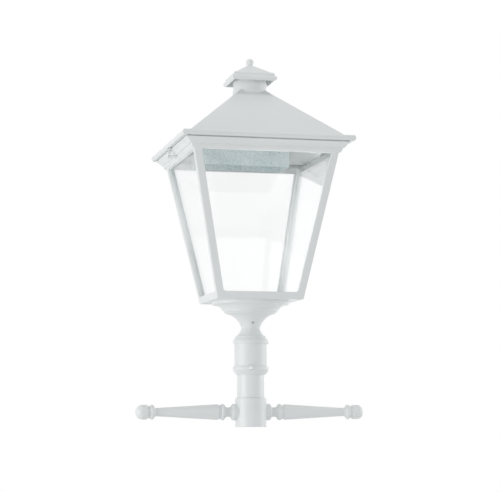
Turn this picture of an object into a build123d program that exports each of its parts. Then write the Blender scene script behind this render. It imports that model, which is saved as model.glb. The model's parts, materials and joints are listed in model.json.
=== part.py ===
"""Four-sided post top lantern on a 60 mm post fitting, with two turned ladder bars.

Frame: millimetres, +Z up, origin at the centre of the bottom face of the ladder bar collar,
where the post goes in. The front looks toward -Y and the ladder bars lie along X. The roof
canopy is hinged on the +X side and held by a hook catch on the -X side.
"""

import os
from math import cos, radians, sin

from build123d import *

# ---------------------------------------------------------------- driving dimensions

# Post fitting
post_diameter = 60.0
tube_wall = 4.0
slide_gap = 0.3  # radial, between a tube and the casting that takes it
collar_diameter = 68.2
collar_height = 62.0
socket_depth = 36.0
stop_thickness = 3.0
collar_edge = 1.2

# Ladder bars
bar_height = 32.0
bar_reach = 252.0
bar_flange_radius = 17.8
bar_flange_end = 42.5
bar_neck_radius = 10.1
bar_bead_radius = 17.7
bar_root_radius = 16.8
bar_root_start = 74.0
bar_tip_radius = 9.0
bar_tip_bead_radius = 15.9
bar_knob_radius = 15.6
bar_knob_length = 26.0
bar_stud_radius = 5.0
seat_gap = 0.1

# Adaptor casting between the post tube and the dish
sleeve_diameter = 71.4
sleeve_bottom = 111.5
sleeve_top = 179.0
sleeve_bead_diameter = 78.6
sleeve_bead_height = 11.0
sleeve_chamfer_height = 8.5
skirt_diameter = 78.2
skirt_ring_diameter = 67.2
adaptor_neck_radius = 20.6
adaptor_top = 212.0
tube_insert = 65.5
spigot_radius = 14.0
spigot_length = 20.0
wire_bore_radius = 8.0

# Base dish casting
dish_neck_radius = 21.4
dish_step_radius = 60.8
dish_rim_radius = 84.0
dish_rim_thickness = 7.0
dish_mouth_radius = 66.0
dish_floor_gap = 2.0

# Lantern body: square in plan, its half width grows evenly from the plate to the cornice
plate_height = 270.0
plate_half = 93.5
body_flare = 0.2035  # half width gained per millimetre of height
floor_thickness = 4.0
rail_height = 15.0
frame_height = 23.0
rail_corner_radius = 7.0
floor_hole_radius = 62.0
post_width = 15.5
post_thickness = 6.5
spine_width = 6.0
cornice_bottom = 577.0
cornice_height = 21.5
cornice_overhang = 20.8  # how far it stands out from the body
fascia_inset = 15.2
cornice_ledge_inset = 8.8

# Glazing
glass_thickness = 3.0
glass_gap = 0.2
glass_top = 588.0
clip_width = 14.0
clip_offset = 45.0
top_clip_offset = 62.0
top_clip_width = 16.0
clip_thickness = 2.0

# Roof canopy
rim_flat_width = 4.8
rim_bulge = 4.0
rim_top_inset = 2.8
rim_height = 12.8
roof_inset = 18.5
roof_slope = 0.845  # rise over run of each roof face
roof_wall = 3.0
lip_overlap = 0.4
gasket_width = 6.0
gasket_thickness = 2.0
body_gap = 0.3  # between pieces that move against each other
chimney_radius = 36.75
chimney_wall = 3.0
chimney_foot_height = 733.0
chimney_height = 27.0
collar_ring_radius = 37.8
collar_ring_depth = 12.0
upstand_height = 12.0

# Vent cap and finial
cap_half = 49.3
cap_bottom = 750.5
cap_lip_radius = 5.75
cap_shoulder_half = 45.2
cap_roof_half = 38.0
cap_roof_rise = 20.0
cap_top_half = 8.5
cap_wall = 2.6
finial_neck_radius = 6.4
finial_ball_radius = 8.7
finial_neck_height = 3.4
rod_radius = 4.0

# Hinge and catch
hinge_standoff = 3.4  # from the cornice's edge out to the hinge pins
hinge_spacing = 60.0
knuckle_radius = 3.4
pin_radius = 1.6
knuckle_length = 12.0
side_knuckle_length = 8.0
running_gap = 0.05
catch_arm = 8.0
catch_plate = 2.0
peg_radius = 1.5
keeper_stem = 1.4
catch_screw_depth = 9.0

# Gear in the canopy
tray_height = 630.0
tray_thickness = 2.0
tray_half_width = 115.0
tray_front = 45.0
tray_back = 135.0
tray_fixing_offset = 90.0
tray_fixing_inset = 17.0
hood_half_width = 103.0
hood_front = 55.0
hood_back = 136.0
hood_bottom = 578.0
hood_wall = 1.2
lamp_radius = 19.0
lamp_length = 128.0
lamp_cap_radius = 13.0
lamp_cap_length = 22.0
holder_radius = 20.0
holder_length = 42.0
holder_plate_width = 52.0
holder_plate_height = 44.0
holder_plate_thickness = 3.0

gear_length = 108.0
gear_width = 44.0
gear_height = 32.0
gear_depth = 76.0
gear_screw_offset = 59.0
block_depth = 92.0
block_offset = 82.0
block_foot = 3.0
block_foot_length = 38.0
ignitor_width = 24.0
ignitor_length = 22.0
ignitor_height = 20.0
terminal_width = 16.0
terminal_length = 24.0
terminal_height = 12.0

# Fasteners
m6_radius = 3.0
m5_radius = 2.5
m4_radius = 2.0
m3_radius = 1.5
thread_gap = 0.05

# ---------------------------------------------------------------- sizes worked out from them

post_radius = post_diameter / 2
tube_bore = post_radius - tube_wall
socket_radius = post_radius + slide_gap
collar_radius = collar_diameter / 2
tube_bottom = socket_depth + stop_thickness
tube_top = sleeve_bottom + tube_insert
sleeve_radius = sleeve_diameter / 2
sleeve_bead_radius = sleeve_bead_diameter / 2
skirt_radius = skirt_diameter / 2
spigot_top = adaptor_top + spigot_length
floor_top = plate_height + floor_thickness
rail_top = plate_height + rail_height
frame_top = plate_height + frame_height
cornice_top = cornice_bottom + cornice_height
canopy_seat = cornice_top + gasket_thickness + body_gap
rim_bottom = cornice_top + 0.5
roof_bottom = rim_bottom + rim_height + 1.7
roof_run = roof_wall * (1 + 1 / roof_slope**2) ** 0.5  # the wall measured along X or Y
gear_screw_spots = [(-gear_screw_offset, gear_depth), (gear_screw_offset, gear_depth)] + [
    (side * block_offset, block_depth + end * 15.0) for side in (-1, 1) for end in (-1, 1)
]
hood_top = tray_height
lamp_height = hood_top - lamp_radius - 5.0
lamp_depth = (hood_front + hood_back) / 2


def body_half(height):
    """Half width of the lantern body's outside at a height."""
    return plate_half + body_flare * (height - plate_height)


def roof_inside(half):
    """Height of the roof's inner face at a distance from the middle."""
    return roof_bottom + roof_slope * (roof_half - roof_run - half)


cornice_half = body_half(cornice_bottom) + cornice_overhang
cornice_fascia_half = cornice_half - fascia_inset
cornice_ledge_half = cornice_half - cornice_ledge_inset
lip_half = cornice_half + lip_overlap
rim_flat_half = lip_half + rim_flat_width
rim_half = rim_flat_half + rim_bulge
rim_top_half = rim_half - rim_top_inset
roof_half = rim_half - roof_inset
glass_outside = post_thickness + glass_gap
glass_inside = glass_outside + glass_thickness
glass_edge = post_thickness + spine_width + body_gap
spine_inside = post_thickness + spine_width
wall_line = post_thickness - seat_gap  # from the body's outside in to the cornice's inner wall
ledge_height = glass_top + 2.0
ledge_half = cornice_fascia_half - 1.0
fascia_bottom = cornice_bottom + 3.2
fascia_top = cornice_bottom + 9.0
hinge_rows = (-hinge_spacing / 2, hinge_spacing / 2)
leaf_low = fascia_bottom + 0.6
leaf_high = fascia_top - 0.2
leaf_screw_offset = 15.0
web_half = 2.8
strip_thickness = 1.5
hinge_offset = cornice_half + hinge_standoff
hinge_height = rim_bottom - strip_thickness - knuckle_radius - 0.4
strip_half_length = 27.0
strip_screw_offset = 21.5
strip_screw_depth = 9.0
strip_screw_x = hinge_offset
keeper_face = lip_half + body_gap
keeper_flange_width = 4.4
catch_standoff = keeper_face + keeper_stem + 0.2
catch_height = cornice_bottom + 5.5
keeper_flange_half = 13.0
keeper_screw_x = -keeper_face - keeper_flange_width / 2
keeper_screw_offset = 9.0
rim_screw_spots = [
    (strip_screw_x, row + end * strip_screw_offset) for row in hinge_rows for end in (-1, 1)
] + [(keeper_screw_x, end * keeper_screw_offset) for end in (-1, 1)]


def square_turned(outline):
    """Solid that is square in plan, with the outline as its half width at every height."""
    with BuildPart() as body:
        for plane, mode in ((Plane.XZ, Mode.ADD), (Plane.YZ, Mode.INTERSECT)):
            with BuildSketch(plane):
                add(outline)
                mirror(about=Plane.YZ)
            extrude(amount=2 * rim_half, both=True, mode=mode)
    return body.part


def save(piece, name):
    """Label a finished piece and write it."""
    piece.part.label = name
    export_step(piece.part, f"parts/{name}.step")


os.makedirs("parts", exist_ok=True)

# ---------------------------------------------------------------- ladder bar collar

with BuildPart() as ladder_bar_collar:
    Cylinder(collar_radius, collar_height, align=(Align.CENTER, Align.CENTER, Align.MIN))
    chamfer(ladder_bar_collar.edges().filter_by(GeomType.CIRCLE), collar_edge)
    Cylinder(socket_radius, socket_depth, align=(Align.CENTER, Align.CENTER, Align.MIN), mode=Mode.SUBTRACT)
    Cylinder(tube_bore, collar_height, align=(Align.CENTER, Align.CENTER, Align.MIN), mode=Mode.SUBTRACT)
    with BuildSketch(Plane.XY.offset(tube_bottom)):
        Circle(socket_radius)
    extrude(amount=collar_height - tube_bottom, mode=Mode.SUBTRACT)
    with BuildSketch(Plane.YZ):
        with Locations((0, bar_height)):
            Circle(bar_stud_radius + seat_gap)
    extrude(amount=collar_radius, both=True, mode=Mode.SUBTRACT)
save(ladder_bar_collar, "ladder_bar_collar")

# ---------------------------------------------------------------- ladder bars

bar_axis = Axis((0, 0, bar_height), (1, 0, 0))
bead_half_width = 4.0
groove_depth = 2.6
tip_bead_center = bar_reach - bar_knob_length - 9.5
taper_end = tip_bead_center - 11.5
knob_start = bar_reach - bar_knob_length
knob_shoulder = bar_reach - 14.0
bead_center = bar_root_start - 11.0
stud_end = socket_radius + seat_gap
flange_edge = 2.5


def ladder_bar(side):
    """One turned bar on the +X or -X side of the collar, revolved about its own axis."""

    def at(reach, radius):
        return (side * reach, bar_height + radius)

    with BuildPart() as bar:
        with BuildSketch(Plane.XZ):
            with BuildLine():
                Polyline(
                    at(knob_start, bar_knob_radius - groove_depth),
                    at(tip_bead_center + bead_half_width, bar_tip_bead_radius - groove_depth),
                )
                ThreePointArc(
                    at(tip_bead_center + bead_half_width, bar_tip_bead_radius - groove_depth),
                    at(tip_bead_center, bar_tip_bead_radius),
                    at(tip_bead_center - bead_half_width, bar_tip_bead_radius - groove_depth),
                )
                ThreePointArc(
                    at(tip_bead_center - bead_half_width, bar_tip_bead_radius - groove_depth),
                    at(tip_bead_center - 6.5, bar_tip_radius + 1.2),
                    at(taper_end, bar_tip_radius),
                )
                Polyline(
                    at(taper_end, bar_tip_radius),
                    at(bar_root_start, bar_root_radius),
                    at(bar_root_start - 1.5, bar_bead_radius - groove_depth),
                    at(bead_center + bead_half_width, bar_bead_radius - groove_depth),
                )
                ThreePointArc(
                    at(bead_center + bead_half_width, bar_bead_radius - groove_depth),
                    at(bead_center, bar_bead_radius),
                    at(bead_center - bead_half_width, bar_bead_radius - groove_depth),
                )
                ThreePointArc(
                    at(bead_center - bead_half_width, bar_bead_radius - groove_depth),
                    at((bead_center - bead_half_width + bar_flange_end) / 2, bar_neck_radius),
                    at(bar_flange_end, bar_flange_radius - flange_edge),
                )
                ThreePointArc(
                    at(bar_flange_end, bar_flange_radius - flange_edge),
                    at(bar_flange_end - 0.3 * flange_edge, bar_flange_radius - 0.3 * flange_edge),
                    at(bar_flange_end - flange_edge, bar_flange_radius),
                )
                Polyline(
                    at(bar_flange_end - flange_edge, bar_flange_radius),
                    at(collar_radius - 8.0, bar_flange_radius),
                    at(collar_radius - 8.0, 0),
                    at(bar_reach, 0),
                )
                ThreePointArc(
                    at(bar_reach, 0),
                    at(bar_reach - 4.1, 0.7 * bar_knob_radius),
                    at(knob_shoulder, bar_knob_radius),
                )
                Polyline(
                    at(knob_shoulder, bar_knob_radius),
                    at(knob_start + 1.6, bar_knob_radius),
                    at(knob_start, bar_knob_radius - groove_depth),
                )
            make_face()
        revolve(axis=bar_axis)
        with BuildSketch():
            Circle(collar_radius + seat_gap)
        extrude(amount=collar_height, mode=Mode.SUBTRACT)
        with BuildSketch(Plane.YZ.offset(side * stud_end)):
            with Locations((0, bar_height)):
                Circle(bar_stud_radius)
        extrude(amount=side * (bar_flange_end - stud_end))
    return bar


for side, name in ((-1, "ladder_bar_left"), (1, "ladder_bar_right")):
    save(ladder_bar(side), name)

# ---------------------------------------------------------------- post tube

with BuildPart() as post_tube:
    with BuildSketch(Plane.XY.offset(tube_bottom)):
        Circle(post_radius)
        Circle(tube_bore, mode=Mode.SUBTRACT)
    extrude(amount=tube_top - tube_bottom)
save(post_tube, "post_tube")

# ---------------------------------------------------------------- post adaptor

bead_bottom = sleeve_bottom + sleeve_chamfer_height
bead_top = bead_bottom + sleeve_bead_height
skirt_top = sleeve_top + 12.5
adaptor_screw_height = (bead_bottom + bead_top) / 2
adaptor_screw_angles = [258, 18, 138]
adaptor_roof = tube_top + 7.0

with BuildPart() as post_adaptor:
    with BuildSketch(Plane.XZ):
        with BuildLine():
            Polyline(
                (socket_radius, sleeve_bottom),
                (socket_radius + 1.0, sleeve_bottom),
                (sleeve_bead_radius - 1.6, bead_bottom),
            )
            ThreePointArc(
                (sleeve_bead_radius - 1.6, bead_bottom),
                (sleeve_bead_radius, (bead_bottom + bead_top) / 2),
                (sleeve_bead_radius - 2.6, bead_top),
            )
            Polyline(
                (sleeve_bead_radius - 2.6, bead_top),
                (sleeve_radius, bead_top),
                (sleeve_radius, sleeve_top),
                (skirt_radius - 0.6, sleeve_top),
            )
            ThreePointArc(
                (skirt_radius - 0.6, sleeve_top),
                (skirt_radius, sleeve_top + 3.0),
                (skirt_radius - 0.9, sleeve_top + 6.0),
            )
            ThreePointArc(
                (skirt_radius - 0.9, sleeve_top + 6.0),
                (skirt_radius - 2.5, sleeve_top + 9.5),
                (skirt_ring_diameter / 2 + 0.6, skirt_top),
            )
            Line((skirt_ring_diameter / 2 + 0.6, skirt_top), (skirt_ring_diameter / 2, skirt_top))
            ThreePointArc(
                (skirt_ring_diameter / 2, skirt_top),
                (skirt_ring_diameter / 2 - 0.5, skirt_top + 2.7),
                (skirt_ring_diameter / 2 - 2.6, skirt_top + 4.6),
            )
            Line(
                (skirt_ring_diameter / 2 - 2.6, skirt_top + 4.6),
                (skirt_ring_diameter / 2 - 4.4, skirt_top + 5.2),
            )
            ThreePointArc(
                (skirt_ring_diameter / 2 - 4.4, skirt_top + 5.2),
                (adaptor_neck_radius + 3.4, adaptor_top - 8.0),
                (adaptor_neck_radius, adaptor_top),
            )
            Polyline(
                (adaptor_neck_radius, adaptor_top),
                (spigot_radius, adaptor_top),
                (spigot_radius, spigot_top),
                (wire_bore_radius, spigot_top),
                (wire_bore_radius, adaptor_roof + 8.0),
                (tube_bore, adaptor_roof),
                (tube_bore, tube_top),
                (socket_radius, tube_top),
                (socket_radius, sleeve_bottom),
            )
        make_face()
    revolve(axis=Axis.Z)
    for angle in adaptor_screw_angles:
        outward = Vector(cos(radians(angle)), sin(radians(angle)), 0)
        with BuildSketch(Plane(origin=(0, 0, adaptor_screw_height), z_dir=outward)):
            Circle(m6_radius + thread_gap)
        extrude(amount=sleeve_bead_radius + 2, mode=Mode.SUBTRACT)
save(post_adaptor, "post_adaptor")

screw_head_radius = 4.4
screw_head_height = 1.8
socket_key_radius = 1.9


def ring_of_screws(angles, height, tip, seat, shank, head_radius, head_height, key_radius):
    """Dome-headed socket screws that point to the lantern's axis, as one group."""
    with BuildPart() as screws:
        for angle in angles:
            outward = Vector(cos(radians(angle)), sin(radians(angle)), 0)
            plane = Plane(origin=(0, 0, height), z_dir=outward)
            with BuildSketch(plane.offset(tip)):
                Circle(shank)
            extrude(amount=seat - tip)
            if head_height:
                with BuildSketch(plane.offset(seat)):
                    Circle(head_radius)
                extrude(amount=head_height, taper=25)
            with BuildSketch(plane.offset(seat + head_height - 2.0)):
                RegularPolygon(key_radius, 6)
            extrude(amount=3.0, mode=Mode.SUBTRACT)
    return screws


adaptor_screws = ring_of_screws(
    adaptor_screw_angles,
    adaptor_screw_height,
    socket_radius + seat_gap,
    sleeve_bead_radius + seat_gap,
    m6_radius,
    screw_head_radius,
    screw_head_height,
    socket_key_radius,
)
save(adaptor_screws, "adaptor_screws")

# ---------------------------------------------------------------- base dish

dish_rim_bottom = plate_height - dish_rim_thickness
dish_step_height = plate_height - 19.5
grub_height = adaptor_top + 11.5
grub_angles = [268, 28, 148]
grub_recess = 22.0

with BuildPart() as base_dish:
    with BuildSketch(Plane.XZ):
        with BuildLine():
            Polyline(
                (spigot_radius + slide_gap, adaptor_top),
                (dish_neck_radius - 1.0, adaptor_top),
                (dish_neck_radius, adaptor_top + 3.2),
            )
            ThreePointArc(
                (dish_neck_radius, adaptor_top + 3.2),
                (dish_neck_radius + 9.9, adaptor_top + 19.8),
                (dish_step_radius - 7.0, dish_step_height - 6.6),
            )
            Line(
                (dish_step_radius - 7.0, dish_step_height - 6.6),
                (dish_step_radius - 5.8, dish_step_height - 4.8),
            )
            ThreePointArc(
                (dish_step_radius - 5.8, dish_step_height - 4.8),
                (dish_step_radius - 1.8, dish_step_height - 2.6),
                (dish_step_radius - 0.4, dish_step_height + 1.0),
            )
            Line(
                (dish_step_radius - 0.4, dish_step_height + 1.0),
                (dish_step_radius + 1.6, dish_step_height + 1.6),
            )
            ThreePointArc(
                (dish_step_radius + 1.6, dish_step_height + 1.6),
                (dish_rim_radius - 17.2, dish_rim_bottom - 5.6),
                (dish_rim_radius - 10.4, dish_rim_bottom - 1.4),
            )
            Line(
                (dish_rim_radius - 10.4, dish_rim_bottom - 1.4),
                (dish_rim_radius - 3.4, dish_rim_bottom - 0.4),
            )
            ThreePointArc(
                (dish_rim_radius - 3.4, dish_rim_bottom - 0.4),
                (dish_rim_radius - 0.9, dish_rim_bottom + 0.7),
                (dish_rim_radius, dish_rim_bottom + 3.0),
            )
            Polyline(
                (dish_rim_radius, dish_rim_bottom + 3.0),
                (dish_rim_radius, plate_height),
                (dish_mouth_radius, plate_height),
                (dish_mouth_radius, dish_rim_bottom + 1.0),
                (dish_step_radius - 3.0, dish_step_height + 5.0),
                (dish_step_radius - 9.0, dish_step_height),
                (dish_neck_radius + 4.6, spigot_top + dish_floor_gap + 2.0),
                (spigot_radius + slide_gap, spigot_top + dish_floor_gap),
                (spigot_radius + slide_gap, adaptor_top),
            )
        make_face()
    revolve(axis=Axis.Z)
    for angle in grub_angles:
        outward = Vector(cos(radians(angle)), sin(radians(angle)), 0)
        with BuildSketch(Plane(origin=(0, 0, grub_height), z_dir=outward)):
            Circle(m5_radius + thread_gap)
        extrude(amount=dish_neck_radius + 16, mode=Mode.SUBTRACT)
    bolt_circle = (dish_mouth_radius + dish_rim_radius) / 2
    bolt_depth = dish_rim_thickness - 1.5
    with BuildSketch(Plane.XY.offset(plate_height - bolt_depth)):
        with PolarLocations(bolt_circle, 4, start_angle=45):
            Circle(m5_radius + thread_gap)
    extrude(amount=bolt_depth, mode=Mode.SUBTRACT)
save(base_dish, "base_dish")

grub_screws = ring_of_screws(
    grub_angles,
    grub_height,
    spigot_radius + seat_gap,
    grub_recess,
    m5_radius,
    m5_radius,
    0,
    socket_key_radius * 0.7,
)
save(grub_screws, "dish_grub_screws")

# ---------------------------------------------------------------- bottom frame

gland_plate_radius = floor_hole_radius + 5.0
plate_screw_circle = (gland_plate_radius + floor_hole_radius) / 2 + 0.3
spine_center = body_half(floor_top) - post_thickness - spine_width / 2
floor_clip_spot = body_half(floor_top) - glass_inside - glass_gap - 5.4
frame_screw_radius = 1.7
frame_head_radius = 3.4
frame_head_depth = 2.0

with BuildPart() as bottom_frame:
    for height in (plate_height, frame_top):
        with BuildSketch(Plane.XY.offset(height)):
            Rectangle(2 * body_half(height), 2 * body_half(height))
    loft(ruled=True)
    for height in (floor_top, frame_top):
        with BuildSketch(Plane.XY.offset(height)):
            inside = 2 * (body_half(height) - post_thickness)
            Rectangle(inside, inside)
    loft(ruled=True, mode=Mode.SUBTRACT)
    with BuildSketch(Plane.XZ) as window:
        low = body_half(rail_top) - post_width
        high = body_half(frame_top + 2 * rail_corner_radius) - post_width
        with BuildLine():
            Polyline(
                (-low, rail_top),
                (low, rail_top),
                (high, frame_top + 2 * rail_corner_radius),
                (-high, frame_top + 2 * rail_corner_radius),
                close=True,
            )
        make_face()
        fillet(window.vertices().group_by(Axis.Y)[0], rail_corner_radius)
    extrude(amount=2 * plate_half, both=True, mode=Mode.SUBTRACT)
    with BuildSketch(Plane.YZ):
        add(window.sketch_local)
    extrude(amount=2 * plate_half, both=True, mode=Mode.SUBTRACT)
    with BuildSketch(Plane.XY.offset(plate_height)):
        Circle(floor_hole_radius)
        with PolarLocations(bolt_circle, 4, start_angle=45):
            Circle(m5_radius + thread_gap)
        with PolarLocations(plate_screw_circle, 4):
            Circle(1.3 + thread_gap)
        with GridLocations(2 * spine_center, 2 * spine_center, 2, 2):
            Circle(frame_screw_radius + thread_gap)
        for turn in range(4):
            with Locations(Location((0, 0, 0), (0, 0, 90 * turn))):
                with Locations((-clip_offset, -floor_clip_spot), (clip_offset, -floor_clip_spot)):
                    Circle(1.3 + thread_gap)
    extrude(amount=floor_thickness, mode=Mode.SUBTRACT)
    with BuildSketch(Plane.XY.offset(plate_height)):
        with GridLocations(2 * spine_center, 2 * spine_center, 2, 2):
            Circle(frame_head_radius + thread_gap)
    extrude(amount=frame_head_depth, mode=Mode.SUBTRACT)
save(bottom_frame, "bottom_frame")

with BuildPart() as dish_bolts:
    with BuildSketch(Plane.XY.offset(plate_height - bolt_depth + 0.5)):
        with PolarLocations(bolt_circle, 4, start_angle=45):
            Circle(m5_radius)
    extrude(amount=bolt_depth - 0.5 + floor_thickness)
    with BuildSketch(Plane.XY.offset(floor_top)):
        with PolarLocations(bolt_circle, 4, start_angle=45):
            RegularPolygon(4.6, 6)
    extrude(amount=3.5)
save(dish_bolts, "dish_bolts")

spine_screw_length = 14.0
with BuildPart() as frame_screws:
    with BuildSketch(Plane.XY.offset(plate_height)):
        with GridLocations(2 * spine_center, 2 * spine_center, 2, 2):
            Circle(frame_head_radius)
    extrude(amount=frame_head_depth)
    with BuildSketch(Plane.XY.offset(plate_height + frame_head_depth)):
        with GridLocations(2 * spine_center, 2 * spine_center, 2, 2):
            Circle(frame_screw_radius)
    extrude(amount=spine_screw_length - frame_head_depth)
save(frame_screws, "frame_screws")

# ---------------------------------------------------------------- gland plate and cable gland

gland_plate_thickness = 2.0
gland_thread_radius = 10.0
gland_nut_radius = 13.0
gland_nut_height = 5.0
gland_dome_height = 16.0
gland_bore_radius = 5.0
gland_plate_top = floor_top + gland_plate_thickness
plate_screw_head = 2.1

with BuildPart() as gland_plate:
    with BuildSketch(Plane.XY.offset(floor_top)):
        Circle(gland_plate_radius)
        Circle(gland_thread_radius + thread_gap, mode=Mode.SUBTRACT)
        with PolarLocations(gland_plate_radius * 0.62, 6):
            Circle(4.0, mode=Mode.SUBTRACT)
        with PolarLocations(plate_screw_circle, 4):
            Circle(1.3 + thread_gap, mode=Mode.SUBTRACT)
    extrude(amount=gland_plate_thickness)
save(gland_plate, "gland_plate")

with BuildPart() as gland_plate_screws:
    with BuildSketch(Plane.XY.offset(gland_plate_top)):
        with PolarLocations(plate_screw_circle, 4):
            Circle(plate_screw_head)
    extrude(amount=1.6)
    with BuildSketch(Plane.XY.offset(floor_top - 3.0)):
        with PolarLocations(plate_screw_circle, 4):
            Circle(1.3)
    extrude(amount=gland_plate_thickness + 3.0)
save(gland_plate_screws, "gland_plate_screws")

with BuildPart() as cable_gland:
    with BuildSketch(Plane.XY.offset(floor_top - gland_nut_height)):
        RegularPolygon(gland_nut_radius, 6)
    extrude(amount=gland_nut_height)
    with BuildSketch(Plane.XY.offset(floor_top)):
        Circle(gland_thread_radius)
    extrude(amount=gland_plate_thickness)
    with BuildSketch(Plane.XY.offset(gland_plate_top)):
        RegularPolygon(gland_nut_radius, 6)
    extrude(amount=gland_nut_height)
    with BuildSketch(Plane.XY.offset(gland_plate_top + gland_nut_height)):
        Circle(gland_thread_radius)
    extrude(amount=gland_dome_height - gland_nut_height, taper=12)
    Cylinder(gland_bore_radius, 4 * plate_height, mode=Mode.SUBTRACT)
save(cable_gland, "cable_gland")

# ---------------------------------------------------------------- corner posts

spine_top = cornice_bottom + 12.0
post_screw_height = cornice_bottom + 3.0
post_screw_spot = body_half(post_screw_height) - post_thickness - spine_width / 2
post_screw_start = post_screw_spot - spine_width / 2 + 0.3
post_screw_end = post_screw_spot + spine_width / 2 + 6.0


def corner_post(right, back):
    """One corner post: an angle section with a square spine in its inner corner."""
    sign_x = 1 if right else -1
    sign_y = 1 if back else -1

    def place(points):
        return [(sign_x * x, sign_y * y) for x, y in points]

    with BuildPart() as post:
        for height in (frame_top, cornice_bottom):
            half = body_half(height)
            leg = half - post_width
            back_face = half - post_thickness
            spine = half - spine_inside
            with BuildSketch(Plane.XY.offset(height)):
                Polygon(
                    *place(
                        [
                            (half, half),
                            (leg, half),
                            (leg, back_face),
                            (spine, back_face),
                            (spine, spine),
                            (back_face, spine),
                            (back_face, leg),
                            (half, leg),
                        ]
                    ),
                    align=None,
                )
        loft(ruled=True)
        for low, high in ((floor_top, frame_top), (cornice_bottom, spine_top)):
            for height in (low, high):
                middle = body_half(height) - post_thickness - spine_width / 2
                with BuildSketch(Plane.XY.offset(height)):
                    with Locations(*place([(middle, middle)])):
                        side_length = spine_width - (seat_gap if low == floor_top else 0)
                        Rectangle(side_length, side_length)
            loft(ruled=True)
        with BuildSketch(Plane.YZ.offset(sign_x * (post_screw_start - 1.0))):
            with Locations((sign_y * post_screw_spot, post_screw_height)):
                Circle(m3_radius + thread_gap)
        extrude(amount=sign_x * (spine_width + 1.2), mode=Mode.SUBTRACT)
        screw_hole = spine_screw_length - floor_thickness + 1.0
        with BuildSketch(Plane.XY.offset(floor_top)):
            with Locations(*place([(spine_center, spine_center)])):
                Circle(frame_screw_radius + thread_gap)
        extrude(amount=screw_hole, mode=Mode.SUBTRACT)
    return post


for back, row in ((False, "front"), (True, "back")):
    for right, column in ((False, "left"), (True, "right")):
        save(corner_post(right, back), f"post_{row}_{column}")

# ---------------------------------------------------------------- glass panes


def pane(direction):
    """One trapezoid pane; direction 0 is the front, then right, back and left."""
    with BuildPart() as glass:
        for height in (floor_top + glass_gap, glass_top):
            offset = body_half(height) - (glass_outside + glass_inside) / 2
            width = 2 * (body_half(height) - glass_edge)
            with BuildSketch(Plane.XY.offset(height).rotated((0, 0, 90 * direction))):
                with Locations((0, -offset)):
                    Rectangle(width, glass_thickness)
        loft(ruled=True)
    return glass


for direction, name in enumerate(("pane_front", "pane_right", "pane_back", "pane_left")):
    save(pane(direction), name)

clip_height = 9.0
clip_foot = 8.0
clip_spots = (-clip_offset, clip_offset)


def clip_face(height):
    """Distance of the inner face of a pane, less the gap to its clips, from the middle."""
    return body_half(height) - glass_inside - glass_gap


with BuildPart() as glazing_clips:
    for direction in range(4):
        turn = (0, 0, 90 * direction)
        with BuildSketch(Plane.XY.offset(floor_top).rotated(turn)):
            with Locations(*[(x, -clip_face(floor_top)) for x in clip_spots]):
                Rectangle(clip_width, clip_foot, align=(Align.CENTER, Align.MIN))
                with Locations((0, clip_foot - 2.6)):
                    Circle(1.3 + thread_gap, mode=Mode.SUBTRACT)
        extrude(amount=clip_thickness)
        for spot in clip_spots:
            for height in (floor_top + 0.5 * clip_thickness, floor_top + clip_height):
                with BuildSketch(Plane.XY.offset(height).rotated(turn)):
                    with Locations((spot, -clip_face(height))):
                        Rectangle(clip_width, clip_thickness, align=(Align.CENTER, Align.MIN))
            loft(ruled=True)
save(glazing_clips, "glazing_clips")

clip_screw_spot = clip_face(floor_top) - clip_foot + 2.6
with BuildPart() as clip_screws:
    for direction in range(4):
        turn = (0, 0, 90 * direction)
        with BuildSketch(Plane.XY.offset(floor_top + clip_thickness).rotated(turn)):
            with Locations(*[(x, -clip_screw_spot) for x in clip_spots]):
                Circle(2.2)
        extrude(amount=1.6)
        with BuildSketch(Plane.XY.offset(floor_top - 3.0).rotated(turn)):
            with Locations(*[(x, -clip_screw_spot) for x in clip_spots]):
                Circle(1.3)
        extrude(amount=clip_thickness + 3.0)
save(clip_screws, "clip_screws")

top_clip_spots = (-top_clip_offset, top_clip_offset)
top_clip_low = glass_top - 5.0
top_clip_inner = clip_face(top_clip_low) - clip_thickness
top_clip_outer = ledge_half - 0.6
top_screw_spot = (top_clip_outer + body_half(ledge_height) - wall_line) / 2

with BuildPart() as glass_top_clips:
    for direction in range(4):
        turn = (0, 0, 90 * direction)
        with BuildSketch(Plane.XY.offset(ledge_height).rotated(turn)):
            with Locations(*[(x, -top_clip_inner) for x in top_clip_spots]):
                Rectangle(top_clip_width, top_clip_outer - top_clip_inner, align=(Align.CENTER, Align.MAX))
            with Locations(*[(x, -top_screw_spot) for x in top_clip_spots]):
                Circle(m3_radius + thread_gap, mode=Mode.SUBTRACT)
        extrude(amount=clip_thickness)
        with BuildSketch(Plane.XY.offset(top_clip_low).rotated(turn)):
            with Locations(*[(x, -top_clip_inner) for x in top_clip_spots]):
                Rectangle(top_clip_width, clip_thickness, align=(Align.CENTER, Align.MAX))
        extrude(amount=ledge_height - top_clip_low + clip_thickness)
save(glass_top_clips, "glass_top_clips")

with BuildPart() as top_clip_screws:
    for direction in range(4):
        turn = (0, 0, 90 * direction)
        with BuildSketch(Plane.XY.offset(ledge_height + clip_thickness).rotated(turn)):
            with Locations(*[(x, -top_screw_spot) for x in top_clip_spots]):
                Circle(2.7)
        extrude(amount=2.0)
        with BuildSketch(Plane.XY.offset(ledge_height - 6.0).rotated(turn)):
            with Locations(*[(x, -top_screw_spot) for x in top_clip_spots]):
                Circle(m3_radius)
        extrude(amount=clip_thickness + 6.0)
save(top_clip_screws, "top_clip_screws")

# ---------------------------------------------------------------- cornice frame

fascia_lean = 1.4
cove_bottom = fascia_top + 1.5
cove_top = cornice_top - 1.3
cove_half = cornice_fascia_half + 5.2


def fascia_half(height):
    """Half width of the cornice's flat band at a height."""
    return cornice_fascia_half + fascia_lean * (height - fascia_bottom) / (fascia_top - fascia_bottom)


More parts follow.
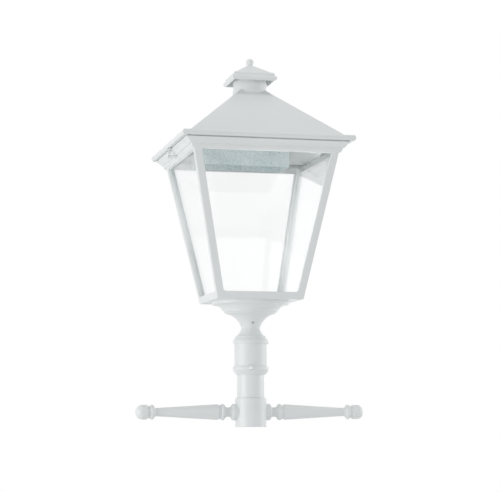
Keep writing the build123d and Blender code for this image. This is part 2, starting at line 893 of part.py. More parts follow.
with BuildSketch() as cornice_outline:
    with BuildLine():
        Line((0, cornice_bottom), (body_half(cornice_bottom) + 0.6, cornice_bottom))
        ThreePointArc(
            (body_half(cornice_bottom) + 0.6, cornice_bottom),
            (cornice_fascia_half - 3.0, cornice_bottom + 0.7),
            (cornice_fascia_half - 1.6, cornice_bottom + 2.4),
        )
        Polyline(
            (cornice_fascia_half - 1.6, cornice_bottom + 2.4),
            (cornice_fascia_half, fascia_bottom),
            (fascia_half(fascia_top), fascia_top),
            (cove_half - 0.4, fascia_top + 0.8),
            (cove_half, cove_bottom),
        )
        ThreePointArc(
            (cove_half, cove_bottom),
            (cove_half + 3.6, cove_bottom + 4.8),
            (cornice_half - 0.6, cove_top),
        )
        Polyline(
            (cornice_half - 0.6, cove_top),
            (cornice_half, cornice_top),
            (0, cornice_top),
            (0, cornice_bottom),
        )
    make_face()

with BuildSketch() as cornice_void:
    with BuildLine():
        Polyline(
            (0, cornice_bottom - 1),
            (body_half(cornice_bottom - 1) - wall_line, cornice_bottom - 1),
            (body_half(ledge_height) - wall_line, ledge_height),
            (ledge_half, ledge_height),
            (cornice_ledge_half - 3.0, cornice_top - 4.0),
            (cornice_ledge_half, cornice_top + 1),
            (0, cornice_top + 1),
            close=True,
        )
    make_face()

leaf_screw_height = (leaf_low + leaf_high) / 2
leaf_screw_spots = [(row + end * leaf_screw_offset) for row in hinge_rows for end in (-1, 1)]
leaf_screw_depth = 7.0
cornice_solid = square_turned(cornice_outline.sketch)
cornice_opening = square_turned(cornice_void.sketch)
catch_boss_radius = 3.2

with BuildPart() as cornice_frame:
    add(cornice_solid)
    with BuildSketch(Plane.YZ.offset(-catch_standoff)):
        with Locations((0, catch_height)):
            Circle(catch_boss_radius)
    extrude(amount=catch_standoff - cornice_fascia_half + 6)
    add(cornice_opening, mode=Mode.SUBTRACT)
    with BuildSketch(Plane.YZ.offset(-catch_standoff)):
        with Locations((0, catch_height)):
            Circle(m4_radius + thread_gap)
    extrude(amount=catch_screw_depth + 1.0, mode=Mode.SUBTRACT)
    with BuildSketch(Plane.YZ.offset(fascia_half(leaf_screw_height) + 2.0)):
        with Locations(*[(y, leaf_screw_height) for y in leaf_screw_spots]):
            Circle(m3_radius + thread_gap)
    extrude(amount=-leaf_screw_depth - 3.0, mode=Mode.SUBTRACT)
    with BuildSketch(Plane.YZ):
        with GridLocations(2 * post_screw_spot, 0, 2, 1):
            with Locations((0, post_screw_height)):
                Circle(m3_radius + thread_gap)
    extrude(amount=post_screw_end + 1.0, both=True, mode=Mode.SUBTRACT)
    for direction in range(4):
        with BuildSketch(Plane.XY.offset(ledge_height).rotated((0, 0, 90 * direction))):
            with Locations(*[(x, -top_screw_spot) for x in top_clip_spots]):
                Circle(m3_radius + thread_gap)
        extrude(amount=-7.0, mode=Mode.SUBTRACT)
save(cornice_frame, "cornice_frame")

with BuildPart() as post_screws:
    for side in (-1, 1):
        with BuildSketch(Plane.YZ.offset(side * post_screw_start)):
            with GridLocations(2 * post_screw_spot, 0, 2, 1):
                with Locations((0, post_screw_height)):
                    Circle(m3_radius)
        extrude(amount=side * (post_screw_end - post_screw_start))
save(post_screws, "post_screws")

# ---------------------------------------------------------------- gasket

with BuildPart() as canopy_gasket:
    gasket_middle = (cornice_half + cornice_ledge_half) / 2
    with BuildSketch(Plane.XY.offset(cornice_top)):
        Rectangle(2 * gasket_middle + gasket_width, 2 * gasket_middle + gasket_width)
        Rectangle(2 * gasket_middle - gasket_width, 2 * gasket_middle - gasket_width, mode=Mode.SUBTRACT)
    extrude(amount=gasket_thickness)
save(canopy_gasket, "canopy_gasket")

# ---------------------------------------------------------------- roof canopy

rim_top = rim_bottom + rim_height
rim_center = rim_bottom + rim_height / 2
roof_apex_half = roof_half - (chimney_foot_height - roof_bottom) / roof_slope
ring_bottom = chimney_foot_height - collar_ring_depth
upstand_top = chimney_foot_height + upstand_height
upstand_radius = chimney_radius - chimney_wall - 0.2
vent_radius = upstand_radius - 4.5
spider_screw_circle = (upstand_radius + vent_radius) / 2

with BuildSketch() as canopy_outline:
    with BuildLine():
        Polyline(
            (0, canopy_seat),
            (lip_half, canopy_seat),
            (lip_half, rim_bottom),
            (rim_flat_half, rim_bottom),
        )
        ThreePointArc((rim_flat_half, rim_bottom), (rim_half, rim_center), (rim_top_half, rim_top))
        Polyline(
            (rim_top_half, rim_top),
            (roof_half + 2.5, rim_top + 0.8),
            (roof_half, roof_bottom),
            (roof_apex_half, chimney_foot_height),
            (0, chimney_foot_height),
            (0, canopy_seat),
        )
    make_face()

with BuildSketch() as canopy_void:
    with BuildLine():
        mouth_half = cornice_ledge_half - 2.0
        Polyline(
            (0, canopy_seat - 1),
            (mouth_half, canopy_seat - 1),
            (mouth_half, roof_inside(mouth_half)),
            (roof_apex_half, roof_inside(roof_apex_half)),
            (0, roof_inside(roof_apex_half)),
            close=True,
        )
    make_face()

canopy_solid = square_turned(canopy_outline.sketch)
canopy_opening = square_turned(canopy_void.sketch)
boss_radius = 5.0
tray_fixings = [
    (side * tray_fixing_offset, y)
    for side in (-1, 1)
    for y in (tray_front + tray_fixing_inset, tray_back - tray_fixing_inset)
]
tray_top = tray_height + tray_thickness

with BuildPart() as roof_canopy:
    add(canopy_solid)
    with BuildSketch(Plane.XY.offset(canopy_seat)):
        Circle(collar_ring_radius)
    extrude(amount=chimney_foot_height - canopy_seat)
    add(canopy_opening, mode=Mode.SUBTRACT)
    with BuildSketch(Plane.XY.offset(ring_bottom)):
        Circle(collar_ring_radius)
    extrude(amount=collar_ring_depth)
    with BuildSketch(Plane.XY.offset(chimney_foot_height)):
        Circle(upstand_radius)
    extrude(amount=upstand_height)
    with BuildSketch(Plane.XY.offset(ring_bottom)):
        Circle(vent_radius)
    extrude(amount=collar_ring_depth + upstand_height, mode=Mode.SUBTRACT)
    with BuildSketch(Plane.XY.offset(upstand_top)):
        with PolarLocations(spider_screw_circle, 3, start_angle=30):
            Circle(m3_radius + thread_gap)
    extrude(amount=-8.0, mode=Mode.SUBTRACT)
    with BuildSketch(Plane.XY.offset(rim_bottom)):
        with Locations(*rim_screw_spots):
            Circle(m3_radius + thread_gap)
    extrude(amount=strip_screw_depth + 0.5, mode=Mode.SUBTRACT)
    for spot in tray_fixings:
        farthest = max(abs(spot[0]), abs(spot[1]))
        with BuildSketch(Plane.XY.offset(tray_top)):
            with Locations(spot):
                Circle(boss_radius)
        extrude(amount=roof_inside(farthest) - 0.5 - tray_top)
        with BuildSketch(Plane.XY.offset(tray_top)):
            with Locations(spot):
                Circle(m4_radius + thread_gap)
        extrude(amount=10.0, mode=Mode.SUBTRACT)
save(roof_canopy, "roof_canopy")

# ---------------------------------------------------------------- chimney, spider, tie rod


with BuildPart() as chimney_tube:
    with BuildSketch(Plane.XY.offset(chimney_foot_height)):
        Circle(chimney_radius)
        Circle(chimney_radius - chimney_wall, mode=Mode.SUBTRACT)
    extrude(amount=chimney_height)
save(chimney_tube, "chimney_tube")

spider_thickness = 4.0
spider_top = upstand_top + spider_thickness
spider_hub_radius = 9.0
spider_arm_width = 6.0
spider_screw_head = 2.0

with BuildPart() as cap_spider:
    with BuildSketch(Plane.XY.offset(upstand_top)):
        Circle(upstand_radius)
        Circle(vent_radius, mode=Mode.SUBTRACT)
        with PolarLocations(0, 3, start_angle=30):
            Rectangle(vent_radius + 1.0, spider_arm_width, align=(Align.MIN, Align.CENTER))
        Circle(spider_hub_radius)
        Circle(rod_radius + thread_gap, mode=Mode.SUBTRACT)
        with PolarLocations(spider_screw_circle, 3, start_angle=30):
            Circle(m3_radius + thread_gap, mode=Mode.SUBTRACT)
    extrude(amount=spider_thickness)
save(cap_spider, "cap_spider")

with BuildPart() as spider_screws:
    with BuildSketch(Plane.XY.offset(upstand_top - 7.0)):
        with PolarLocations(spider_screw_circle, 3, start_angle=30):
            Circle(m3_radius)
    extrude(amount=spider_thickness + 7.0)
    with BuildSketch(Plane.XY.offset(spider_top)):
        with PolarLocations(spider_screw_circle, 3, start_angle=30):
            Circle(spider_screw_head)
    extrude(amount=1.8)
save(spider_screws, "spider_screws")

cap_lip_center = cap_bottom + cap_lip_radius
cap_lip_top = cap_bottom + 2 * cap_lip_radius
cap_roof_bottom = cap_lip_top + 8.0
cap_top = cap_roof_bottom + cap_roof_rise - 1.5
cap_boss_radius = 8.0
cap_boss_bottom = cap_top - 13.0
nut_radius = 7.5
nut_height = 4.0
finial_base = cap_top
ball_center = finial_base + finial_neck_height + finial_ball_radius * 0.68
rod_top = ball_center - 1.0
rod_bottom = upstand_top - nut_height - 3.0

with BuildPart() as tie_rod:
    with BuildSketch(Plane.XY.offset(rod_bottom)):
        Circle(rod_radius)
    extrude(amount=rod_top - rod_bottom)
save(tie_rod, "tie_rod")

with BuildPart() as rod_nuts:
    for height in (upstand_top - nut_height, spider_top, cap_boss_bottom - nut_height):
        with BuildSketch(Plane.XY.offset(height)):
            RegularPolygon(nut_radius, 6)
            Circle(rod_radius + thread_gap, mode=Mode.SUBTRACT)
        extrude(amount=nut_height)
save(rod_nuts, "rod_nuts")

with BuildSketch() as cap_outline:
    with BuildLine():
        Line((0, cap_bottom), (cap_half - cap_lip_radius, cap_bottom))
        ThreePointArc(
            (cap_half - cap_lip_radius, cap_bottom),
            (cap_half, cap_lip_center),
            (cap_half - cap_lip_radius * 0.35, cap_lip_top - cap_lip_radius * 0.25),
        )
        Polyline(
            (cap_half - cap_lip_radius * 0.35, cap_lip_top - cap_lip_radius * 0.25),
            (cap_shoulder_half, cap_lip_top),
            (cap_shoulder_half, cap_lip_top + 2.0),
        )
        ThreePointArc(
            (cap_shoulder_half, cap_lip_top + 2.0),
            (cap_shoulder_half - 1.6, cap_lip_top + 5.6),
            (cap_roof_half + 2.0, cap_roof_bottom - 0.8),
        )
        Polyline(
            (cap_roof_half + 2.0, cap_roof_bottom - 0.8),
            (cap_roof_half, cap_roof_bottom),
            (cap_top_half, cap_top),
            (0, cap_top),
            (0, cap_bottom),
        )
    make_face()

with BuildSketch() as cap_void:
    with BuildLine():
        Polyline(
            (0, cap_bottom - 1),
            (cap_half - 2 * cap_wall, cap_bottom - 1),
            (cap_shoulder_half - cap_wall, cap_lip_top + 2.0),
            (cap_roof_half - cap_wall, cap_roof_bottom - cap_wall),
            (cap_top_half - cap_wall, cap_top - cap_wall - 1.5),
            (0, cap_top - cap_wall - 1.5),
            close=True,
        )
    make_face()

cap_solid = square_turned(cap_outline.sketch)
cap_opening = square_turned(cap_void.sketch)

with BuildPart() as vent_cap:
    add(cap_solid)
    add(cap_opening, mode=Mode.SUBTRACT)
    with BuildSketch(Plane.XY.offset(cap_boss_bottom)):
        Circle(cap_boss_radius)
    extrude(amount=cap_top - cap_boss_bottom - 2.0)
    with BuildSketch(Plane.XY.offset(cap_bottom)):
        Circle(rod_radius + thread_gap)
    extrude(amount=cap_top - cap_bottom, mode=Mode.SUBTRACT)
save(vent_cap, "vent_cap")

with BuildPart() as finial:
    with BuildSketch(Plane.XZ):
        with BuildLine():
            Polyline(
                (rod_radius + thread_gap, finial_base),
                (cap_top_half, finial_base),
                (finial_neck_radius, finial_base + finial_neck_height - 1.0),
            )
            Line(
                (finial_neck_radius, finial_base + finial_neck_height - 1.0),
                (finial_neck_radius, ball_center - (finial_ball_radius**2 - finial_neck_radius**2) ** 0.5),
            )
            ThreePointArc(
                (finial_neck_radius, ball_center - (finial_ball_radius**2 - finial_neck_radius**2) ** 0.5),
                (finial_ball_radius, ball_center),
                (0, ball_center + finial_ball_radius),
            )
            Polyline(
                (0, ball_center + finial_ball_radius),
                (0, rod_top + thread_gap),
                (rod_radius + thread_gap, rod_top + thread_gap),
                (rod_radius + thread_gap, finial_base),
            )
        make_face()
    revolve(axis=Axis.Z)
save(finial, "finial")

# ---------------------------------------------------------------- hinges

leaf_plate = 3.0
leaf_half_length = 19.0
leaf_face = fascia_half(leaf_high) + leaf_plate
leaf_screw_head = 2.3

with BuildPart() as hinge_leaves_body:
    for row in hinge_rows:
        with BuildSketch(Plane.XZ.offset(-row)):
            with BuildLine():
                Polyline(
                    (fascia_half(leaf_low) + seat_gap, leaf_low),
                    (leaf_face + 1.0, leaf_low),
                    (hinge_offset + 2.6, hinge_height - 2.1),
                    (hinge_offset, hinge_height),
                    (hinge_offset - 2.8, hinge_height - 1.8),
                    (leaf_face + 1.0, leaf_high),
                    (fascia_half(leaf_high) + seat_gap, leaf_high),
                    close=True,
                )
            make_face()
            with Locations((hinge_offset, hinge_height)):
                Circle(knuckle_radius)
                Circle(pin_radius + thread_gap / 2, mode=Mode.SUBTRACT)
        extrude(amount=knuckle_length / 2, both=True)
        with BuildSketch(Plane.XZ.offset(-row)):
            Polygon(
                (fascia_half(leaf_low) + seat_gap, leaf_low),
                (leaf_face, leaf_low),
                (leaf_face, leaf_high),
                (fascia_half(leaf_high) + seat_gap, leaf_high),
                align=None,
            )
        extrude(amount=leaf_half_length, both=True)
    with BuildSketch(Plane.YZ.offset(hinge_offset)):
        with Locations(*[(y, leaf_screw_height) for y in leaf_screw_spots]):
            Circle(m3_radius + thread_gap)
    extrude(amount=-hinge_offset / 2, mode=Mode.SUBTRACT)
save(hinge_leaves_body, "hinge_leaves_body")

with BuildPart() as hinge_leaf_screws:
    with BuildSketch(Plane.YZ.offset(leaf_face)):
        with Locations(*[(y, leaf_screw_height) for y in leaf_screw_spots]):
            Circle(leaf_screw_head)
    extrude(amount=1.5)
    with BuildSketch(Plane.YZ.offset(leaf_face)):
        with Locations(*[(y, leaf_screw_height) for y in leaf_screw_spots]):
            Circle(m3_radius)
    extrude(amount=-leaf_plate - leaf_screw_depth)
save(hinge_leaf_screws, "hinge_leaf_screws")

side_start = knuckle_length / 2 + body_gap
with BuildPart() as hinge_leaves_canopy:
    for row in hinge_rows:
        for end in (-1, 1):
            middle = row + end * (side_start + side_knuckle_length / 2)
            with BuildSketch(Plane.XZ.offset(-middle)):
                with Locations((hinge_offset, (hinge_height + rim_bottom) / 2)):
                    Rectangle(2 * web_half, rim_bottom - hinge_height)
                with Locations((hinge_offset, hinge_height)):
                    Circle(knuckle_radius)
                    Circle(pin_radius + running_gap, mode=Mode.SUBTRACT)
            extrude(amount=side_knuckle_length / 2, both=True)
        with BuildSketch(Plane.XZ.offset(-row)):
            with Locations((hinge_offset, rim_bottom)):
                Rectangle(2 * web_half, strip_thickness, align=(Align.CENTER, Align.MAX))
        extrude(amount=strip_half_length, both=True)
        with BuildSketch(Plane.XY.offset(rim_bottom)):
            with GridLocations(0, 2 * strip_screw_offset, 1, 2):
                with Locations((strip_screw_x, row)):
                    Circle(m3_radius + thread_gap)
        extrude(amount=-strip_thickness, mode=Mode.SUBTRACT)
save(hinge_leaves_canopy, "hinge_leaves_canopy")

with BuildPart() as hinge_rim_screws:
    for row in hinge_rows:
        with BuildSketch(Plane.XY.offset(rim_bottom - strip_thickness)):
            with GridLocations(0, 2 * strip_screw_offset, 1, 2):
                with Locations((strip_screw_x, row)):
                    Circle(m3_radius)
        extrude(amount=strip_thickness + strip_screw_depth)
        with BuildSketch(Plane.XY.offset(rim_bottom - strip_thickness)):
            with GridLocations(0, 2 * strip_screw_offset, 1, 2):
                with Locations((strip_screw_x, row)):
                    Circle(leaf_screw_head)
        extrude(amount=-1.5)
save(hinge_rim_screws, "hinge_rim_screws")

pin_overhang = 1.2
with BuildPart() as hinge_pins:
    for row in hinge_rows:
        with BuildSketch(Plane.XZ.offset(-row)):
            with Locations((hinge_offset, hinge_height)):
                Circle(pin_radius)
        extrude(amount=side_start + side_knuckle_length + pin_overhang, both=True)
save(hinge_pins, "hinge_pins")

# ---------------------------------------------------------------- catch

hook_slot = catch_arm + peg_radius + body_gap
hook_outer = hook_slot + 2.0
hook_wedge = 2 * hook_outer
hook_back_angle = -44
hook_throat_angle = -14
hook_tip_angle = 16
tail_angle = 102
tail_length = 12.0
tail_width = 3.8
hook_face = -catch_standoff - body_gap
hook_back = hook_face - catch_plate


def toward(angle, reach):
    """Point in the catch's plane, at an angle from straight up toward +Y."""
    return (reach * sin(radians(angle)), catch_height + reach * cos(radians(angle)))


with BuildPart() as catch_hook:
    with BuildSketch(Plane.YZ.offset(hook_face)):
        with Locations((0, catch_height)):
            Circle(hook_outer)
        Polygon(
            (0, catch_height),
            toward(hook_back_angle, hook_wedge),
            toward(hook_tip_angle, hook_wedge),
            align=None,
            mode=Mode.INTERSECT,
        )
        with BuildSketch(Plane.XY, mode=Mode.PRIVATE) as throat:
            with Locations((0, catch_height)):
                Circle(hook_slot)
            Polygon(
                (0, catch_height),
                toward(hook_throat_angle, hook_wedge),
                toward(80, hook_wedge),
                align=None,
                mode=Mode.INTERSECT,
            )
        add(throat.sketch, mode=Mode.SUBTRACT)
        with Locations(Location((0, catch_height, 0), (0, 0, 90 - tail_angle))):
            Rectangle(tail_length, tail_width, align=(Align.MIN, Align.CENTER))
        with Locations((0, catch_height)):
            Circle(catch_boss_radius)
            Circle(m3_radius + running_gap, mode=Mode.SUBTRACT)
    extrude(amount=-catch_plate)
save(catch_hook, "catch_hook")

catch_screw_head = 2.8
with BuildPart() as catch_screw:
    with BuildSketch(Plane.YZ.offset(hook_back - body_gap)):
        with Locations((0, catch_height)):
            Circle(m3_radius)
    extrude(amount=catch_plate + 2 * body_gap + catch_screw_depth)
    with BuildSketch(Plane.YZ.offset(hook_back - body_gap)):
        with Locations((0, catch_height)):
            Circle(catch_screw_head)
    extrude(amount=-1.6, taper=20)
save(catch_screw, "catch_screw")

keeper_stem_width = 8.0
peg_height = catch_height + catch_arm
with BuildPart() as catch_keeper:
    with BuildSketch(Plane.YZ.offset(-keeper_face)):
        with Locations((0, rim_bottom)):
            Rectangle(
                keeper_stem_width,
                rim_bottom - peg_height + 3.0,
                align=(Align.CENTER, Align.MAX),
            )
    extrude(amount=-keeper_stem)
    with BuildSketch(Plane.XY.offset(rim_bottom)):
        with Locations((-keeper_face, 0)):
            Rectangle(keeper_flange_width, 2 * keeper_flange_half, align=(Align.MAX, Align.CENTER))
        with Locations((keeper_screw_x, -keeper_screw_offset), (keeper_screw_x, keeper_screw_offset)):
            Circle(m3_radius + thread_gap, mode=Mode.SUBTRACT)
    extrude(amount=-strip_thickness)
    with BuildSketch(Plane.YZ.offset(-keeper_face - keeper_stem)):
        with Locations((0, peg_height)):
            Circle(peg_radius)
    extrude(amount=hook_back - 1.0 + keeper_face + keeper_stem)
save(catch_keeper, "catch_keeper")

with BuildPart() as keeper_screws:
    with BuildSketch(Plane.XY.offset(rim_bottom - strip_thickness)):
        with Locations((keeper_screw_x, -keeper_screw_offset), (keeper_screw_x, keeper_screw_offset)):
            Circle(m3_radius)
    extrude(amount=strip_thickness + strip_screw_depth)
    with BuildSketch(Plane.XY.offset(rim_bottom - strip_thickness)):
        with Locations((keeper_screw_x, -keeper_screw_offset), (keeper_screw_x, keeper_screw_offset)):
            Circle(2.1)
    extrude(amount=-1.6)
save(keeper_screws, "keeper_screws")

# ---------------------------------------------------------------- gear tray, hood, lamp

with BuildPart() as gear_tray:
    with BuildSketch(Plane.XY.offset(tray_height)):
        with Locations((0, (tray_front + tray_back) / 2)):
            Rectangle(2 * tray_half_width, tray_back - tray_front)
        with Locations(*tray_fixings):
            Circle(m4_radius + thread_gap, mode=Mode.SUBTRACT)
        with Locations(*gear_screw_spots):
            Circle(m3_radius + thread_gap, mode=Mode.SUBTRACT)
    extrude(amount=tray_thickness)
save(gear_tray, "gear_tray")

hood_depth = hood_back - hood_front
with BuildPart() as reflector_hood:
    with BuildSketch(Plane.XY.offset(hood_bottom)):
        with Locations((0, lamp_depth)):
            Rectangle(2 * hood_half_width, hood_depth)
    extrude(amount=hood_top - hood_bottom)
    with BuildSketch(Plane.XY.offset(hood_bottom)):
        with Locations((0, lamp_depth)):
            Rectangle(2 * (hood_half_width - hood_wall), hood_depth - 2 * hood_wall)
    extrude(amount=hood_top - hood_bottom - hood_wall, mode=Mode.SUBTRACT)
    with BuildSketch(Plane.XY.offset(hood_top - hood_wall)):
        with Locations(*tray_fixings):
            Circle(m4_radius + thread_gap)
        with Locations(*gear_screw_spots):
            Circle(m3_radius + thread_gap)
    extrude(amount=hood_wall, mode=Mode.SUBTRACT)
save(reflector_hood, "reflector_hood")

tray_screw_head = 2.4
with BuildPart() as tray_screws:
    with BuildSketch(Plane.XY.offset(hood_top - hood_wall - tray_screw_head)):
        with Locations(*tray_fixings):
            Circle(2 * m4_radius)
    extrude(amount=tray_screw_head)
    with BuildSketch(Plane.XY.offset(hood_top - hood_wall)):
        with Locations(*tray_fixings):
            Circle(m4_radius)
    extrude(amount=hood_wall + tray_thickness + 8.0)
save(tray_screws, "tray_screws")

holder_start = -hood_half_width + hood_wall
lamp_start = holder_start + holder_length

with BuildPart() as lampholder:
    with BuildSketch(Plane.YZ.offset(holder_start)):
        with Locations((lamp_depth, lamp_height)):
            Rectangle(holder_plate_width, holder_plate_height)
    extrude(amount=holder_plate_thickness)
    with BuildSketch(Plane.YZ.offset(holder_start + holder_plate_thickness)):
        with Locations((lamp_depth, lamp_height)):
            Circle(holder_radius)
    extrude(amount=holder_length - holder_plate_thickness)
    with BuildSketch(Plane.YZ.offset(lamp_start - lamp_cap_length - 1.0)):
        with Locations((lamp_depth, lamp_height)):
            Circle(lamp_cap_radius + slide_gap)
    extrude(amount=lamp_cap_length + 1.0, mode=Mode.SUBTRACT)
save(lampholder, "lampholder")

lamp_neck = 6.0
lamp_end = lamp_start + lamp_length
with BuildPart() as lamp:
    with BuildSketch(Plane.XY.offset(lamp_height)):
        with BuildLine():
            Polyline(
                (lamp_start - lamp_cap_length, lamp_depth),
                (lamp_start - lamp_cap_length, lamp_depth + lamp_cap_radius),
                (lamp_start + body_gap, lamp_depth + lamp_cap_radius),
                (lamp_start + lamp_neck, lamp_depth + lamp_radius),
                (lamp_end - lamp_radius, lamp_depth + lamp_radius),
            )
            ThreePointArc(
                (lamp_end - lamp_radius, lamp_depth + lamp_radius),
                (lamp_end - lamp_radius * (1 - 0.5**0.5), lamp_depth + lamp_radius * 0.5**0.5),
                (lamp_end, lamp_depth),
            )
            Line((lamp_end, lamp_depth), (lamp_start - lamp_cap_length, lamp_depth))
        make_face()
    revolve(axis=Axis((0, lamp_depth, lamp_height), (1, 0, 0)))
save(lamp, "lamp")

# ---------------------------------------------------------------- control gear on the tray

gear_foot_length = 10.0
gear_foot_thickness = 2.0
with BuildPart() as control_gear:
    with BuildSketch(Plane.XY.offset(tray_top)):
        with Locations((0, gear_depth)):
            Rectangle(gear_length + 2 * gear_foot_length, gear_width * 0.7)
        with Locations(*gear_screw_spots[:2]):
            Circle(m3_radius + thread_gap, mode=Mode.SUBTRACT)
    extrude(amount=gear_foot_thickness)
    with BuildSketch(Plane.XY.offset(tray_top)):
        with Locations((0, gear_depth)):
            RectangleRounded(gear_length, gear_width, 3.0)
    extrude(amount=gear_height)
save(control_gear, "control_gear")

with BuildPart() as gear_screws:
    for spots, seat in ((gear_screw_spots[:2], gear_foot_thickness), (gear_screw_spots[2:], block_foot)):
        with BuildSketch(Plane.XY.offset(tray_height - 1.0)):
            with Locations(*spots):
                Circle(m3_radius)
        extrude(amount=1.0 + tray_thickness + seat)
        with BuildSketch(Plane.XY.offset(tray_top + seat)):
            with Locations(*spots):
                Circle(2.7)
        extrude(amount=2.0)
save(gear_screws, "gear_screws")

with BuildPart() as ignitor:
    with BuildSketch(Plane.XY.offset(tray_top)):
        with Locations((-block_offset, block_depth)):
            Rectangle(ignitor_width + 2.0, block_foot_length)
        with Locations(gear_screw_spots[2], gear_screw_spots[3]):
            Circle(m3_radius + thread_gap, mode=Mode.SUBTRACT)
    extrude(amount=block_foot)
    with BuildSketch(Plane.XY.offset(tray_top + block_foot)):
        with Locations((-block_offset, block_depth)):
            RectangleRounded(ignitor_width, ignitor_length, 2.0)
    extrude(amount=ignitor_height)
save(ignitor, "ignitor")

with BuildPart() as terminal_block:
    with BuildSketch(Plane.XY.offset(tray_top)):
        with Locations((block_offset, block_depth)):
            Rectangle(terminal_width + 2.0, block_foot_length)
        with Locations(gear_screw_spots[4], gear_screw_spots[5]):
            Circle(m3_radius + thread_gap, mode=Mode.SUBTRACT)
    extrude(amount=block_foot)
    with BuildSketch(Plane.XY.offset(tray_top + block_foot)):
        with Locations((block_offset, block_depth)):
            Rectangle(terminal_width, terminal_length)
    extrude(amount=terminal_height)
    with BuildSketch(Plane.XY.offset(tray_top + block_foot + terminal_height)):
        with Locations((block_offset, block_depth)):
            with GridLocations(9.0, 8.0, 2, 3):
                Circle(2.2)
    extrude(amount=-5.0, mode=Mode.SUBTRACT)
save(terminal_block, "terminal_block")
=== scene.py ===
# %% [markdown]
# # Post top lantern
# A square, tapered garden lantern of painted castings and glass, on a round post fitting.
# The solids come from a CAD model with real joints. They are loaded as a fixed frame, and this
# lesson gives them their finishes, replaces the small fasteners and the lamp by finer pieces,
# and sets the light and the camera as in the product picture.

import json
import math

import bmesh
import bpy
from mathutils import Matrix, Vector


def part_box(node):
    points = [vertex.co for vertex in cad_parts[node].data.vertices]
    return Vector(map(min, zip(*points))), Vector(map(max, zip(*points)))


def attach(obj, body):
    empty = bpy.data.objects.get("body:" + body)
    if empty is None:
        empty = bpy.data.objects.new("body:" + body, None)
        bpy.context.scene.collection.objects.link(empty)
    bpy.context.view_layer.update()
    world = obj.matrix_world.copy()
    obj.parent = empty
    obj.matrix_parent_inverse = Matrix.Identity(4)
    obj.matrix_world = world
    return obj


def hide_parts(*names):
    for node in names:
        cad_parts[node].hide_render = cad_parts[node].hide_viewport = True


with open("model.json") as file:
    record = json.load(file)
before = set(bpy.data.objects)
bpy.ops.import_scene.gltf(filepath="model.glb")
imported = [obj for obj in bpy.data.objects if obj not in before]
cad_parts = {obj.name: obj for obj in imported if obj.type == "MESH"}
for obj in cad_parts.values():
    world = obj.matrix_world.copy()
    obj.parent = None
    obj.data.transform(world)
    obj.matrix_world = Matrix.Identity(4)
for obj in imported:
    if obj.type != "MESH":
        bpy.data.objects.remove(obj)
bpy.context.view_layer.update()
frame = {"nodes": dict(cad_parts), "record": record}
nodes = frame["nodes"]

# %% [markdown]
# ## Camera
# The picture was taken from a little above the post's foot with a long lens, so the edges of the
# body hardly converge and the undersides of the canopy and the cap show. The place and the aim of
# the camera were worked out from the corners of the canopy and the foot of the post, and its
# slight roll from the axis of the post. Writing them as numbers is simpler than aiming by eye.

# %% Camera
camera_place = Vector((-0.8407, -3.5128, -0.0039))
camera_forward = Vector((0.2311, 0.9668, 0.1089)).normalized()
camera_roll = math.radians(0.195)
camera_lens = 120.15

level_right = camera_forward.cross(Vector((0, 0, 1))).normalized()
level_up = level_right.cross(camera_forward)
camera_right = level_right * math.cos(camera_roll) - level_up * math.sin(camera_roll)
camera_up = camera_right.cross(camera_forward)

camera_data = bpy.data.cameras.new("product_camera")
camera_data.lens = camera_lens
camera_data.sensor_width = 36.0
camera_data.sensor_fit = "HORIZONTAL"
camera = bpy.data.objects.new("product_camera", camera_data)
bpy.context.scene.collection.objects.link(camera)
turn = Matrix((camera_right, camera_up, -camera_forward)).transposed()
camera.matrix_world = Matrix.Translation(camera_place) @ turn.to_4x4()
bpy.context.scene.camera = camera
bpy.context.scene.view_settings.view_transform = "Standard"
print("camera", round((camera_place - Vector((0, 0, 0.4))).length, 2), "m from the lantern")

# %% [markdown]
# ## Shader maths as expressions
# Node trees read better as formulas. A small class wraps a socket and turns the operators into
# Math nodes, so that `1 - mask` works as it reads. The same classes serve shaders, the world and
# Geometry Nodes.


# %% Wires
class Wire:
    """An output socket of a node. The operators add Math nodes to its tree."""

    def __init__(self, tree, socket):
        self.tree, self.socket = tree, socket

    def maths(self, operation, *values):
        """A Math node on values, each of which is a wire or a number."""
        return self.tree.node("ShaderNodeMath", {"operation": operation}, dict(enumerate(values)))

    def __add__(self, other):
        return self.maths("ADD", self, other)

    def __radd__(self, other):
        return self.maths("ADD", other, self)

    def __sub__(self, other):
        return self.maths("SUBTRACT", self, other)

    def __rsub__(self, other):
        return self.maths("SUBTRACT", other, self)

    def __mul__(self, other):
        return self.maths("MULTIPLY", self, other)

    def __rmul__(self, other):
        return self.maths("MULTIPLY", other, self)

    def __truediv__(self, other):
        return self.maths("DIVIDE", self, other)

    def __pow__(self, other):
        return self.maths("POWER", self, other)

    def at_most(self, other):
        return self.maths("MINIMUM", self, other)

    def at_least(self, other):
        return self.maths("MAXIMUM", self, other)

    def below(self, limit):
        """1 where the value is below the limit, and 0 elsewhere."""
        return self.maths("LESS_THAN", self, limit)

    def pick(self, first, second):
        """The first value where this one is 1, and the second where it is 0."""
        return self * first + (1 - self) * second

    def between(self, low, high):
        """0 below low, 1 above high and smooth between them."""
        return self.tree.node(
            "ShaderNodeMapRange",
            {"interpolation_type": "SMOOTHSTEP"},
            {"Value": self, "From Min": low, "From Max": high},
        )


print("a wire:", Wire.__doc__)

# %% [markdown]
# ### One method for every other node
# A node is its kind, its settings and the values or links of its sockets. The settings go first,
# because some of them change which sockets the node has. What is needed often, such as noise or a
# colour between two colours, has a short method that calls the one for all.


